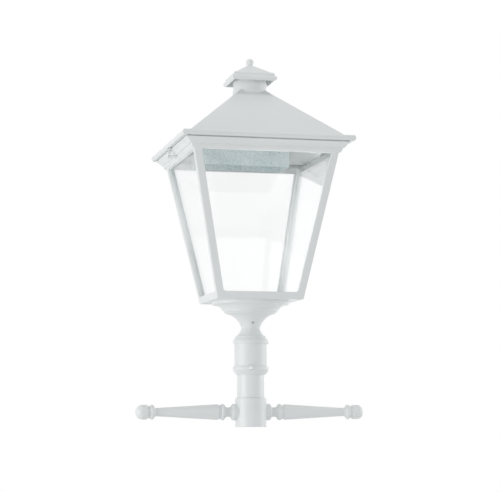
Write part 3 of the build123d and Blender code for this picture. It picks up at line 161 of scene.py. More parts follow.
# %% Trees
class Tree:
    """A node tree of a material, a world or a Geometry Nodes group."""

    def __init__(self, nodes_in):
        self.tree = nodes_in

    def node(self, kind, settings=None, sockets=None, out=0):
        """Adds a node, sets its settings and then its sockets, and gives one of its outputs.

        A socket takes a wire, a value or, where it holds several links, a list of wires.
        """
        made = self.tree.nodes.new(kind)
        for name, value in (settings or {}).items():
            setattr(made, name, value)
        for name, value in (sockets or {}).items():
            for one in value if isinstance(value, list) else [value]:
                if isinstance(one, Wire):
                    self.tree.links.new(one.socket, made.inputs[name])
                else:
                    made.inputs[name].default_value = one
        return Wire(self, made.outputs[out]) if made.outputs else made

    def mix(self, factor, first, second):
        """A colour between two colours."""
        settings = {"data_type": "RGBA"}
        return self.node("ShaderNodeMix", settings, {0: factor, 6: first, 7: second}, out=2)

    def noise(self, place, scale, detail=2.0, out=0):
        """Noise at a place, with about that many lumps to the metre."""
        sockets = {"Vector": place, "Scale": scale, "Detail": detail}
        return self.node("ShaderNodeTexNoise", None, sockets, out)

    def vector(self, operation, *values):
        """A Vector Math node, which keeps all three numbers of a place."""
        settings = {"operation": operation}
        return self.node("ShaderNodeVectorMath", settings, dict(enumerate(values)))


print("a tree:", Tree.__doc__)

# %% [markdown]
# ### What a finish is
# Every material here is one Principled shader. Its patterns read the Object coordinates, which need
# no unwrapping. They feed only what a baked picture can hold, such as colour, roughness, alpha and
# relief, so that the finishes can leave Blender with the piece. Colours are given as they look on
# the screen, from 0 to 255, and turned into the linear values that shaders work with.


# %% Finishes
class Finish(Tree):
    """A material with one Principled shader, whose fixed values are set on its own sockets."""

    def __init__(self, name, **fixed):
        self.material = bpy.data.materials.new(name)
        self.material.use_nodes = True
        super().__init__(self.material.node_tree)
        self.tree.nodes.clear()
        self.place = self.node("ShaderNodeTexCoord", out="Object")
        sockets = {socket.replace("_", " "): value for socket, value in fixed.items()}
        surface = self.node("ShaderNodeBsdfPrincipled", None, sockets)
        self.node("ShaderNodeOutputMaterial", None, {"Surface": surface})
        self.shader = surface.socket.node

    def feed(self, socket, wire):
        """Lets a wire decide one of the shader's values from place to place."""
        self.tree.links.new(wire.socket, self.shader.inputs[socket])

    def bump(self, height, depth, strength=1.0):
        """Relief of that depth in metres. It feeds only the shader's Normal."""
        sockets = {"Height": height, "Distance": depth, "Strength": strength}
        self.feed("Normal", self.node("ShaderNodeBump", None, sockets))


def tone(red, green, blue):
    """A colour given as the picture's 0 to 255 values, in the linear values that shaders use."""
    linear = [((c / 255 + 0.055) / 1.055) ** 2.4 for c in (red, green, blue)]
    return (*linear, 1.0)


print("a finish:", Finish.__doc__)
print("a mid grey of 128 is", round(tone(128, 128, 128)[0], 3), "as a linear value")

# %% [markdown]
# ## Powder coat
# The castings are sprayed with a white powder that is baked on. The coat is nearly even in colour,
# has a satin gloss, and its surface has the fine waviness that painters call orange peel. Under it
# the sand casting leaves slow, shallow swells. Noise at two scales in the Object coordinates gives
# both, because it needs no unwrapping and is the same size on every piece.


# %% Powder coat
def powder_coat(name, light, dark, gloss, peel_depth, swell_depth):
    per_metre = {"cloud": 7.0, "haze": 60.0, "peel": 420.0, "speck": 900.0}
    coat = Finish(name, IOR=1.46)
    cloud = coat.noise(coat.place, per_metre["cloud"], 3.0)
    haze = coat.noise(coat.place, per_metre["haze"], 2.0)
    peel = coat.noise(coat.place, per_metre["peel"], 1.0)
    cells = {"Vector": coat.place, "Scale": per_metre["speck"]}
    speck = coat.node("ShaderNodeTexVoronoi", {"feature": "F1"}, cells)
    shade = (cloud.between(0.25, 0.75) * 0.7 + haze * 0.3).at_most(1.0)
    coat.feed("Base Color", coat.mix(shade, tone(*dark), tone(*light)))
    coat.feed("Roughness", gloss + (haze - 0.5) * 0.10 + (peel - 0.5) * 0.06)
    height = peel * peel_depth + cloud * swell_depth + speck * (peel_depth * 0.15)
    coat.bump(height, 1.0, 0.6)
    return coat.material


casting_coat = powder_coat(
    "powder_coat_casting", light=(233, 236, 236), dark=(228, 232, 232),
    gloss=0.36, peel_depth=2.2e-5, swell_depth=1.6e-4,
)
tube_coat = powder_coat(
    "powder_coat_tube", light=(233, 237, 236), dark=(229, 233, 233),
    gloss=0.30, peel_depth=1.2e-5, swell_depth=3.0e-5,
)
fitting_coat = powder_coat(
    "powder_coat_fitting", light=(228, 232, 232), dark=(220, 226, 226),
    gloss=0.34, peel_depth=1.2e-5, swell_depth=2.0e-5,
)
plate_coat = powder_coat(
    "powder_coat_plate", light=(230, 233, 233), dark=(224, 229, 229),
    gloss=0.40, peel_depth=1.6e-5, swell_depth=2.0e-5,
)
print("powder coats:", casting_coat.name, tube_coat.name, fitting_coat.name, plate_coat.name)

# %% [markdown]
# ## Hammered aluminium sheet
# The hood that throws the light down is folded from aluminium sheet rolled with small round dents,
# so that it spreads the light. In the picture it is a fine, pale mottle with a slow cloudiness over
# it, a little greener than the paint. Smooth Voronoi cells 3 mm across are the dents: they lift the
# surface and shift its tone a little. Slow noise does the clouds. The tray above the hood is plain
# zinc coated sheet, so the same finish serves it with larger, flatter cells.


# %% Hammered sheet
def hammered_sheet(name, dent, dent_depth, light, dark, metal):
    sheet = Finish(name, Metallic=metal, IOR=1.5)
    cells = {"Vector": sheet.place, "Scale": 1 / dent, "Smoothness": 0.6}
    hollow = sheet.node("ShaderNodeTexVoronoi", {"feature": "SMOOTH_F1"}, cells)
    cloud = sheet.noise(sheet.place, 26.0, 4.0)
    grain = sheet.noise(sheet.place, 0.8 / dent, 3.0)
    shade = (cloud * 0.9 + grain * 1.3 + hollow * 0.35).between(0.75, 1.65)
    sheet.feed("Base Color", sheet.mix(shade, tone(*dark), tone(*light)))
    sheet.feed("Roughness", 0.46 + grain * 0.16)
    sheet.bump(hollow * dent_depth + grain * (0.5 * dent_depth), 1.0, 0.8)
    return sheet.material


hood_sheet = hammered_sheet(
    "hammered_hood", dent=0.0032, dent_depth=2.4e-4,
    light=(201, 211, 213), dark=(152, 175, 178), metal=0.25,
)
tray_sheet = hammered_sheet(
    "zinc_coated_tray", dent=0.012, dent_depth=2.0e-5,
    light=(214, 220, 221), dark=(190, 199, 201), metal=0.30,
)
print("sheets:", hood_sheet.name, tray_sheet.name)

# %% [markdown]
# ## Clear glass
# The panes are 3 mm float glass. Seen against a white room a pane shows only by what it mirrors:
# each surface throws back a part of the light straight on, and more at a slant. In the picture the
# inside looks pale behind that mirrored white, so the share is set higher than bare glass has. Real
# refraction would cost time and darken the inside, so the coat is a mirror that is almost clear.
# Its alpha is the mirrored share plus a trace of dust, and the rest of the light passes. The share
# is worked out from the slant alone, because the Fresnel node takes the far side of a pane for
# glass seen from within and would turn it into a full mirror.


# %% Glass
def clear_glass(name, share, veil, tint, roughness):
    glass = Finish(name, Base_Color=tone(*tint), Metallic=1.0)
    smear = glass.noise(glass.place, 35.0, 3.0)
    glass.feed("Roughness", roughness + smear * 0.03)
    slant = glass.node("ShaderNodeLayerWeight", None, {"Blend": 0.5}, out="Facing")
    mirror = share + slant**5 * (1 - share)
    dust = glass.noise(glass.place, 14.0, 5.0).between(0.35, 0.8)
    glass.feed("Alpha", (mirror + dust * veil).at_most(1.0))
    return glass.material


pane_glass = clear_glass("pane_glass", share=0.07, veil=0.012, tint=(250, 253, 253), roughness=0.02)
lamp_glass = clear_glass(
    "lamp_envelope_glass", share=0.06, veil=0.10, tint=(250, 250, 248), roughness=0.03
)
print("glass:", pane_glass.name, lamp_glass.name)

# %% [markdown]
# ## Metal, moulding, ceramic and rubber
# Apart from the painted grub screws, the screws are stainless, drawn and cut, so they carry fine
# turning marks. The gland, the ignitor and the terminal block are black mouldings with a spark
# eroded texture, and the casing of the control gear is enamelled grey. The lampholder is glazed
# ceramic. The gasket is a foamed rubber with open pores.


# %% Other finishes
def turned_steel(name, light, roughness):
    steel = Finish(name, Metallic=1.0)
    marks = steel.noise(steel.place, 1400.0, 2.0)
    stain = steel.noise(steel.place, 120.0, 3.0)
    steel.feed("Base Color", steel.mix(stain.between(0.3, 0.7), tone(*light), tone(205, 207, 208)))
    steel.feed("Roughness", roughness + marks * 0.14)
    steel.bump(marks * 6.0e-6, 1.0, 0.5)
    return steel.material


def moulding(name, light, dark, grain, roughness):
    plastic = Finish(name, IOR=1.5)
    cloud = plastic.noise(plastic.place, 45.0, 3.0)
    texture = plastic.noise(plastic.place, grain, 2.0)
    plastic.feed("Base Color", plastic.mix(cloud.between(0.3, 0.7), tone(*dark), tone(*light)))
    plastic.feed("Roughness", roughness + texture * 0.12)
    plastic.bump(texture * 2.0e-5, 1.0, 0.6)
    return plastic.material


stainless = turned_steel("stainless_turned", (222, 224, 225), 0.24)
black_moulding = moulding("black_moulding", (46, 47, 49), (36, 37, 39), 1300.0, 0.46)
grey_enamel = moulding("grey_enamel", (206, 207, 203), (197, 199, 196), 600.0, 0.40)
glazed_ceramic = moulding("glazed_ceramic", (240, 238, 231), (232, 229, 221), 240.0, 0.16)
sponge_strip = moulding("sponge_strip", (214, 217, 216), (196, 200, 199), 800.0, 0.82)
print("other finishes:", stainless.name, black_moulding.name, sponge_strip.name)

# %% [markdown]
# ## Which finish goes where
# Each CAD node knows its material slot in the record. The finishes go on by that slot, so a new
# node of the CAD model gets the right one by itself.

# %% Dress the CAD nodes
slot_of = {part["node"]: part["material_slot"] for part in frame["record"]["subparts"]}
finish_of_slot = {
    "casting_paint": casting_coat,
    "steel_paint": tube_coat,
    "sheet_paint": tray_sheet,
    "reflector_sheet": hood_sheet,
    "clear_glass": pane_glass,
    "lamp_glass": lamp_glass,
    "gasket_rubber": sponge_strip,
    "stainless_steel": stainless,
    "painted_fitting": fitting_coat,
    "dark_plastic": black_moulding,
    "lampholder_ceramic": glazed_ceramic,
    "gear_casing": grey_enamel,
}
for name, piece in nodes.items():
    piece.data.materials.clear()
    piece.data.materials.append(finish_of_slot[slot_of[name]])
nodes["gland_plate"].data.materials[0] = plate_coat
print("dressed", len(nodes), "CAD nodes in", len(finish_of_slot), "finishes")

# %% [markdown]
# ## Where the fasteners are
# A group of screws is one CAD node with a separate solid for each screw. Splitting a merged copy
# of its mesh into islands gives each screw's place, and measuring an island along its own axis
# gives its length and radii, so that the finer screws always fit the holes of the CAD model.


# %% Measure the screws
def islands(node):
    """The corner points of each separate solid of a CAD node, from a merged copy."""
    copy = bmesh.new()
    copy.from_mesh(nodes[node].data)
    bmesh.ops.remove_doubles(copy, verts=copy.verts, dist=1e-6)
    met, found = set(), []
    for first in copy.verts:
        if first in met:
            continue
        met.add(first)
        group = [first]
        for corner in group:
            for link in corner.link_edges:
                other = link.other_vert(corner)
                if other not in met:
                    met.add(other)
                    group.append(other)
        found.append([corner.co.copy() for corner in group])
    copy.free()
    return found


def measure_screw(points, aim):
    """The head's top, and the lengths and radii of a screw whose head points along aim."""
    side = aim.orthogonal().normalized()
    other = aim.cross(side)
    spans = [[point.dot(way) for point in points] for way in (side, other)]
    axis = sum((way * (min(s) + max(s)) / 2 for way, s in zip((side, other), spans)), Vector())
    heights = [point.dot(aim) for point in points]
    reach = [(point - axis - aim * height).length for point, height in zip(points, heights)]
    foot, top = min(heights), max(heights)
    head = max(reach)
    shank = max(r for r, h in zip(reach, heights) if h < foot + 1e-5)
    under_head = min(h for r, h in zip(reach, heights) if r > 0.95 * head)
    return {
        "top": axis + aim * top,
        "aim": aim,
        "head": head,
        "shank": shank,
        "head_height": top - under_head,
        "length": top - foot,
    }


def outward(point):
    """Level, away from the lantern's axis."""
    return Vector((point.x, point.y, 0)).normalized()


def sideways(point):
    """Level, away from the middle plane between left and right."""
    return Vector((math.copysign(1, point.x), 0, 0))


def towards(x, y, z):
    """The same direction for every screw of a group."""
    return lambda point: Vector((x, y, z))


up, down = towards(0, 0, 1), towards(0, 0, -1)
head_points_to = {
    "adaptor_screws": outward,
    "dish_grub_screws": outward,
    "dish_bolts": up,
    "frame_screws": down,
    "gland_plate_screws": up,
    "clip_screws": up,
    "top_clip_screws": up,
    "post_screws": sideways,
    "hinge_leaf_screws": towards(1, 0, 0),
    "catch_screw": towards(-1, 0, 0),
    "spider_screws": up,
    "hinge_rim_screws": down,
    "keeper_screws": down,
    "tray_screws": down,
    "gear_screws": up,
}
screws = {}
for name, aim in head_points_to.items():
    solids = islands(name)
    screws[name] = [
        measure_screw(points, aim(sum(points, Vector()) / len(points))) for points in solids
    ]
    one = screws[name][0]
    sizes = {key: round(1000 * one[key], 2) for key in ("head", "head_height", "shank", "length")}
    print(name, len(solids), "screws in mm:", sizes)

# %% [markdown]
# ## Finishing a mesh
# A mesh that was swept, cut or turned still has doubled corners along its seams, and its faces may
# look inward. On the real piece an edge is either crisp or so soft that it only shades, and the
# angle between its two faces tells which.

# %% Finished meshes
softest_crease = math.radians(34)


def finished_mesh(name, mesh):
    """Joins the seams, turns the faces outward, smooths the soft edges and links the object."""
    solid = bmesh.new()
    solid.from_mesh(mesh)
    bmesh.ops.remove_doubles(solid, verts=solid.verts, dist=1e-7)
    bmesh.ops.recalc_face_normals(solid, faces=solid.faces)
    for face in solid.faces:
        face.smooth = True
    for edge in solid.edges:
        edge.smooth = edge.is_manifold and edge.calc_face_angle(0.0) < softest_crease
    solid.to_mesh(mesh)
    solid.free()
    mesh.name = name
    piece = bpy.data.objects.new(name, mesh)
    bpy.context.scene.collection.objects.link(piece)
    return piece


print("edges under", round(math.degrees(softest_crease)), "degrees are shaded smooth")

# %% [markdown]
# ## Screws and nuts by Geometry Nodes
# A real screw is rolled and cut: a thread on the shank, a low domed head, and a hexagon socket or a
# hexagon for the spanner. The same recipe makes every screw here, so it is one Geometry Nodes
# group with named sizes, and each group of screws only sets its sizes. A line of points is bent
# into the outline by formulas of the point's number, swept round, cut by a hexagon outside and
# inside, and put at each measured place with its head along the measured direction. Modelling
# each by hand would be slower and less even. The evaluated result is kept as a plain mesh.


# %% A recipe of Geometry Nodes
class Recipe(Tree):
    """A Geometry Nodes group with named sizes in metres, grown once at each of a few places."""

    def __init__(self, name, *names):
        super().__init__(bpy.data.node_groups.new(name, "GeometryNodeTree"))
        face = self.tree.interface
        face.new_socket("Geometry", in_out="INPUT", socket_type="NodeSocketGeometry")
        face.new_socket("Geometry", in_out="OUTPUT", socket_type="NodeSocketGeometry")
        finish = face.new_socket("finish", in_out="INPUT", socket_type="NodeSocketMaterial")
        self.keys = {"finish": finish.identifier}
        for size in names:
            made = face.new_socket(size, in_out="INPUT", socket_type="NodeSocketFloat")
            self.keys[size] = made.identifier
        self.start = self.node("NodeGroupInput").socket.node

    def size(self, name):
        """One of the named sizes, as a wire."""
        return Wire(self, self.start.outputs[name])

    def turned(self, count, radius, height, sides=20):
        """A closed shape turned round the Z axis: radius and height are formulas of the index."""
        number = self.node("FunctionNodeFloatToInt", {"rounding_mode": "ROUND"}, {0: count})
        line = self.node("GeometryNodeMeshLine", None, {"Count": number})
        place = self.node("ShaderNodeCombineXYZ", None, {"Z": height})
        line = self.node("GeometryNodeSetPosition", None, {"Geometry": line, "Position": place})
        axis = self.node("GeometryNodeMeshToCurve", None, {"Mesh": line})
        circle = {"Resolution": sides, "Radius": 1.0}
        circle = self.node("GeometryNodeCurvePrimitiveCircle", None, circle)
        sweep = {"Curve": axis, "Profile Curve": circle, "Scale": radius, "Fill Caps": True}
        return self.node("GeometryNodeCurveToMesh", None, sweep)

    def prism(self, radius, depth, sides=6):
        """An upright prism about the middle, with that radius to its corners."""
        sockets = {"Vertices": sides, "Radius": radius, "Depth": depth}
        return self.node("GeometryNodeMeshCylinder", None, sockets)

    def cut(self, operation, first, second):
        """What both shapes share (INTERSECT), or the first without the second (DIFFERENCE)."""
        sockets = {"Mesh 1": first, "Mesh 2": second}
        if operation == "INTERSECT":
            sockets = {"Mesh 2": [first, second]}
        settings = {"operation": operation, "solver": "EXACT"}
        return self.node("GeometryNodeMeshBoolean", settings, sockets)

    def close(self, shape):
        """One copy of the shape at each place, with its Z axis along that place's aim."""
        kind = {"data_type": "FLOAT_VECTOR"}
        aim = self.node("GeometryNodeInputNamedAttribute", kind, {"Name": "aim"})
        turn = self.node("FunctionNodeAlignRotationToVector", {"axis": "Z"}, {"Vector": aim})
        spots = Wire(self, self.start.outputs["Geometry"])
        copies = {"Points": spots, "Instance": shape, "Rotation": turn}
        copies = self.node("GeometryNodeInstanceOnPoints", None, copies)
        solid = self.node("GeometryNodeRealizeInstances", None, {"Geometry": copies})
        dress = {"Geometry": solid, "Material": self.size("finish")}
        dressed = self.node("GeometryNodeSetMaterial", None, dress)
        self.node("NodeGroupOutput", None, {"Geometry": dressed})

    def make(self, name, spots, finish, **sizes):
        """A plain mesh object: the recipe evaluated at spots, which are (place, aim) pairs."""
        seed_mesh = bpy.data.meshes.new(name + "_places")
        seed_mesh.from_pydata([place for place, aim in spots], [], [])
        aims = seed_mesh.attributes.new("aim", "FLOAT_VECTOR", "POINT")
        for row, (place, aim) in zip(aims.data, spots):
            row.vector = aim
        seed = bpy.data.objects.new(name + "_places", seed_mesh)
        bpy.context.scene.collection.objects.link(seed)
        modifier = seed.modifiers.new("recipe", "NODES")
        modifier.node_group = self.tree
        for key, value in {"finish": finish, **sizes}.items():
            modifier[self.keys[key]] = value
        seen = seed.evaluated_get(bpy.context.evaluated_depsgraph_get())
        mesh = bpy.data.meshes.new_from_object(seen)
        bpy.data.objects.remove(seed)
        bpy.data.meshes.remove(seed_mesh)
        return finished_mesh(name, mesh)


print("a recipe:", Recipe.__doc__)

# %% [markdown]
# ### The screw's outline
# The points run from the tip to the top of the head, which is at height 0. First come two rings for
# each turn of the thread, a root and a crest, then one ring under the head, one at its brim and a
# quarter of an ellipse for the dome. Each ring's radius and height is a formula of its number, and
# `pick` chooses between the thread's formula and the head's.

# %% Screw recipe
thread_depth = 0.5  # of the pitch
plain_neck = 0.3  # of the pitch, left without a thread under the head
dome_share = 0.55  # of the head's height, and the rest is its upright brim
dome_rings = 4
neck_step = 2.0e-5  # keeps the ring under the head apart from the brim

screw = Recipe(
    "screw", "length", "shank", "head", "head_height", "crown", "pitch",
    "key", "key_depth", "spanner",
)
index = screw.node("GeometryNodeInputIndex")
length, shank, head = screw.size("length"), screw.size("shank"), screw.size("head")
head_height, pitch, crown = screw.size("head_height"), screw.size("pitch"), screw.size("crown")

room = (length - head_height) / pitch - plain_neck
rings = room.maths("FLOOR", room) * 2 + 1
on_thread = index.below(rings - 0.5)
crest = index.maths("MODULO", index, 2.0)
thread_radius = shank - (1 - crest) * pitch * thread_depth
thread_height = index * pitch * 0.5 - length

step = index - rings
under_head, on_brim = step.below(0.5), step.below(1.5)
dome = ((step - 2) / dome_rings).at_least(0.0)
left_over = (1 - dome * dome).at_least(0.0)
dome_radius = head * (crown + (1 - crown) * left_over.maths("SQRT", left_over))
dome_height = on_brim.pick(0 - head_height, head_height * dome_share * (dome - 1))
head_ring_radius = under_head.pick(shank, dome_radius)
head_ring_height = under_head.pick(0 - head_height - neck_step, dome_height)

outline = screw.turned(
    rings + (3 + dome_rings),
    on_thread.pick(thread_radius, head_ring_radius),
    on_thread.pick(thread_height, head_ring_height),
)
spanner_prism = screw.prism(screw.size("spanner"), length * 4)
key_prism = screw.prism(screw.size("key"), screw.size("key_depth") * 2)
shape = screw.cut("INTERSECT", outline, spanner_prism)
screw.close(screw.cut("DIFFERENCE", shape, key_prism))
print("screw recipe with sizes", [size for size in screw.keys if size != "finish"])

# %% Grow the screws
body_of = {
    node: body for body, held in frame["record"]["behaviour"]["bodies"].items() for node in held
}


def stands_for(piece, node):
    """The piece rides with the CAD node's body and is shown in its place."""
    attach(piece, body_of[node])
    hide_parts(node)
    return piece


# Shares of a measured size, as on common socket screws.
usual_crown, usual_pitch, usual_key, usual_key_depth = 0.45, 0.36, 0.42, 0.62
headless = {"dish_grub_screws", "post_screws"}
for name, group in screws.items():
    one = group[0]
    sizes = {
        "length": one["length"],
        "shank": one["shank"],
        "head": one["head"],
        "head_height": one["head_height"],
        "crown": usual_crown,
        "pitch": usual_pitch * one["shank"],
        "key": usual_key * one["head"],
        "key_depth": usual_key_depth * one["head_height"],
        "spanner": 3 * one["head"],
    }
    if name in headless:  # only a short plain end, with the socket in it
        sizes.update(head_height=4.0e-4, crown=0.86, key=0.5 * one["head"], key_depth=2.0e-3)
    if name == "dish_bolts":  # a hexagon head, cut by the spanner's prism
        sizes.update(head=0.985 * one["head"], crown=0.72, spanner=one["head"])
        sizes.update(key=0.6 * one["head"], key_depth=2.5e-4)
    spots = [(one["top"], one["aim"]) for one in group]
    piece = screw.make(name + "_fine", spots, finish_of_slot[slot_of[name]], **sizes)
    stands_for(piece, name)
    print(piece.name, len(group), "screws,", len(piece.data.polygons), "faces")

# %% [markdown]
# ## Tie rod and its nuts
# The vent cap is held by a threaded rod through the chimney, with three hexagon nuts. The rod is
# the screw recipe without a head. A nut is turned with its sharp corners taken off at both ends,
# cut to a hexagon and bored, by a second small recipe that uses the same methods.

# %% Rod and nuts
upright = Vector((0, 0, 1))
rod = measure_screw(islands("tie_rod")[0], upright)
threaded_rod = screw.make(
    "threaded_rod", [(rod["top"], rod["aim"])], stainless,
    length=rod["length"], shank=rod["shank"], head=rod["head"], head_height=6.0e-4, crown=0.8,
    pitch=1.5e-3, key=4.0e-4, key_depth=2.0e-4, spanner=0.1,
)
stands_for(threaded_rod, "tie_rod")

nut = Recipe("nut", "corner", "height", "bore")
corner, height, bore = nut.size("corner"), nut.size("height"), nut.size("bore")
index = nut.node("GeometryNodeInputIndex")
last_ring = 3
chamfer_height, chamfer_reach = 0.18, 0.07  # of the nut's height and of its corner radius
ring = index - last_ring / 2
inner_ring = ring.maths("ABSOLUTE", ring).below(1.0)
ring_height = height * ring.maths("SIGN", ring) * (0.5 - chamfer_height * inner_ring)
ring_radius = corner * (1 - chamfer_reach + chamfer_reach * inner_ring)
blank = nut.turned(last_ring + 1, ring_radius, ring_height, sides=36)
blank = nut.cut("INTERSECT", blank, nut.prism(corner, height * 4))
blank = nut.cut("DIFFERENCE", blank, nut.prism(bore, height * 4, sides=32))
nut.close(blank)

nut_spots = []
for points in islands("rod_nuts"):
    low = Vector(map(min, zip(*points)))
    high = Vector(map(max, zip(*points)))
    nut_spots.append(((low + high) / 2, upright))
nut_size = {
    "corner": (high.x - low.x) / 2,
    "height": high.z - low.z,
    "bore": rod["shank"] * 1.02,
}
hexagon_nuts = nut.make("hexagon_nuts", nut_spots, stainless, **nut_size)
stands_for(hexagon_nuts, "rod_nuts")
print("rod", round(1000 * rod["length"]), "mm long")
print("nuts in mm:", {key: round(1000 * size, 2) for key, size in nut_size.items()})

# %% [markdown]
# ## Lamp
# The lamp is a small tubular discharge lamp that lies in its holder: a screw cap, a glass envelope
# with a round end, and inside it the arc tube on its two wires. It is turned about its own axis,
# and the outline of each part is a short list of distance and radius in millimetres, as on a
# lathe. In the CAD model the lamp is one solid, and these pieces together take its place.


# %% Turned pieces
def turned_piece(name, outline, finish, start, way, segments=40, ribs=0, rib_depth=0.0):
    """Turns (distance, radius) pairs in millimetres about the line from start along way."""
    solid = bmesh.new()
    side = way.orthogonal().normalized()
    other = way.cross(side)
    rows = []
    for distance, radius in outline:
        row = []
        for step in range(segments):
            angle = 2 * math.pi * step / segments
            groove = rib_depth * (0.5 + 0.5 * math.cos(ribs * angle)) if ribs else 0.0
            reach = max(radius - groove, 0.0) / 1000
            spoke = side * math.cos(angle) + other * math.sin(angle)
            row.append(solid.verts.new(start + way * distance / 1000 + spoke * reach))
        rows.append(row)
    for row, after in zip(rows, rows[1:]):
        for step in range(segments):
            turn = (step + 1) % segments
            solid.faces.new((row[step], row[turn], after[turn], after[step]))
    if outline[0] != outline[-1]:
        solid.faces.new(rows[0])
        solid.faces.new(rows[-1])
    mesh = bpy.data.meshes.new(name)
    solid.to_mesh(mesh)
    solid.free()
    mesh.materials.append(finish)
    return finished_mesh(name, mesh)


print("a lathe:", turned_piece.__doc__)

# %% Lamp
lamp_low, lamp_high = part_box("lamp")
lamp_axis = Vector((1, 0, 0))
lamp_foot = Vector((lamp_low.x, (lamp_low.y + lamp_high.y) / 2, (lamp_low.z + lamp_high.z) / 2))
lamp_length = 1000 * (lamp_high.x - lamp_low.x)
bulb_radius = 1000 * (lamp_high.z - lamp_low.z) / 2
cap_length, neck_length, neck_radius = 22.0, 6.0, 12.6
flare_rings, tip_rings, cap_turns, cap_pitch = 5, 12, 4, 3.4
wire_radius, wire_offset, wire_short = 0.7, 9.0, 16.0

glass_outline = [(cap_length - 2.0, 12.2), (cap_length + 1.0, neck_radius)]
for ring in range(1, flare_rings + 1):
    flare = 0.5 - 0.5 * math.cos(math.pi * ring / flare_rings)
    distance = cap_length + neck_length * ring / flare_rings
    glass_outline.append((distance, neck_radius + (bulb_radius - neck_radius) * flare))
for ring in range(tip_rings + 1):
    angle = math.pi / 2 * ring / tip_rings
    distance = lamp_length - bulb_radius + bulb_radius * math.sin(angle)
    glass_outline.append((distance, max(bulb_radius * math.cos(angle), 0.4)))

cap_outline = [(0.0, 4.6), (1.2, 5.0), (2.0, 9.4), (3.0, 11.6)]
for thread in range(cap_turns):
    base = 4.0 + cap_pitch * thread
    cap_outline += [(base, 11.7), (base + 0.9, 12.9), (base + 1.8, 12.9), (base + 2.7, 11.7)]
cap_outline += [(18.5, 12.4), (21.4, neck_radius), (cap_length, 12.2)]

arc_outline = [(46, 1.6), (50, 1.8), (52, 4.6), (54, 5.2)]
arc_outline += [(74, 5.2), (76, 4.6), (78, 1.8), (82, 1.6)]
foot_outline = [(cap_length - 1.0, 7.0), (cap_length + 8.0, 6.2)]
foot_outline += [(cap_length + 13.0, 3.4), (cap_length + 16.0, 3.0)]
wire_outline = [(cap_length, wire_radius), (lamp_length - wire_short, wire_radius)]

for name, outline, finish, shift, segments, slot in (
    ("lamp_envelope", glass_outline, lamp_glass, 0.0, 40, "lamp_glass"),
    ("lamp_screw_cap", cap_outline, stainless, 0.0, 40, "stainless_steel"),
    ("lamp_arc_tube", arc_outline, glazed_ceramic, 0.0, 24, "lampholder_ceramic"),
    ("lamp_glass_foot", foot_outline, lamp_glass, 0.0, 24, "lamp_glass"),
    ("lamp_wire_upper", wire_outline, stainless, wire_offset, 12, "stainless_steel"),
    ("lamp_wire_lower", wire_outline, stainless, -wire_offset, 12, "stainless_steel"),
):
    start = lamp_foot + Vector((0, 0, shift / 1000))
    piece = turned_piece(name, outline, finish, start, lamp_axis, segments)
    stands_for(piece, "lamp")
print("lamp", round(lamp_length, 1), "mm long, envelope radius", round(bulb_radius, 1))

# %% [markdown]
# ## Cable gland
# The supply cable passes the floor through a gland: a lock nut under the plate, the threaded body
# with its hexagon, and a dome nut with grip ribs that squeezes a rubber ring on the cable. The
# outlines repeat the sizes of the CAD gland, whose plain dome gets its ribs here.

# %% Gland
gland_low, gland_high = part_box("cable_gland")
gland_foot = Vector((0, 0, gland_low.z))
gland_top = 1000 * (gland_high.z - gland_low.z)
gland_corner = gland_high.x
gland_bore, gland_thread, hexagon_height = 5.0, 10.0, 5.0
dome_nut_height, grip_ribs, rib_depth = 11.0, 24, 0.7
taper_start, taper_height, taper_reach, taper_rings = 0.8, 6.6, 1.4, 5
dome_foot = gland_top - dome_nut_height

dome_outline = [(dome_foot, gland_bore), (dome_foot, 9.9)]
for ring in range(taper_rings + 1):
    rise, draw_in = taper_height * ring / taper_rings, taper_reach * ring / taper_rings
    dome_outline.append((dome_foot + taper_start + rise, gland_thread - draw_in))
dome_outline += [(gland_top - 2.4, 8.2), (gland_top - 1.0, 7.4), (gland_top, 6.4)]
dome_outline += [(gland_top, 5.2), (dome_foot, gland_bore)]
dome_nut = turned_piece(
    "gland_dome_nut", dome_outline, black_moulding, gland_foot, upright, 96, grip_ribs, rib_depth
)
stands_for(dome_nut, "cable_gland")

ring_outline = [(gland_top - 3.0, 3.6), (gland_top - 3.0, 5.1), (gland_top - 0.6, 5.1)]
ring_outline += [(gland_top - 0.4, 4.2), (gland_top - 3.0, 3.6)]
seal_ring = turned_piece("gland_seal_ring", ring_outline, sponge_strip, gland_foot, upright, 32)
stands_for(seal_ring, "cable_gland")

body_outline = [(4.8, gland_bore), (4.8, 9.6)]
for thread in range(2):
    body_outline += [(5.0 + thread, 9.6), (5.5 + thread, gland_thread)]
body_outline += [(7.1, 9.6), (7.1, gland_bore), (4.8, gland_bore)]
gland_body = turned_piece(
    "gland_threaded_body", body_outline, black_moulding, gland_foot, upright, 48
)
stands_for(gland_body, "cable_gland")

gland_spots = [(gland_foot + upright * level, upright) for level in (0.0025, 0.0095)]
gland_nuts = nut.make(
    "gland_hexagons", gland_spots, black_moulding,
    corner=gland_corner, height=hexagon_height / 1000, bore=gland_bore / 1000,
)
stands_for(gland_nuts, "cable_gland")
print("gland", round(gland_top, 1), "mm high over", round(1000 * gland_corner, 1), "mm corners")

# %% [markdown]
# ## Terminal screws
# The terminal block has six wire ways, each closed by a small clamp screw at the bottom of its
# hole. The holes are in the CAD block, and the screws are the same recipe, sunk in them.

# %% Clamp screws
block_low, block_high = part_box("terminal_block")
block_middle = (block_low + block_high) / 2
clamp_sink = 0.0022
clamp_spots = [
    (Vector((block_middle.x + x, block_middle.y + y, block_high.z - clamp_sink)), upright)
    for x in (-0.0045, 0.0045)
    for y in (-0.008, 0.0, 0.008)
]
clamp_screws = screw.make(
    "terminal_clamp_screws", clamp_spots, stainless,
    length=0.0027, shank=0.0016, head=0.0019, head_height=0.0012, crown=0.7, pitch=0.0005,
    key=0.0008, key_depth=0.0006, spanner=0.01,
)
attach(clamp_screws, "canopy")
print(len(clamp_spots), "clamp screws, sunk", 1000 * clamp_sink, "mm")

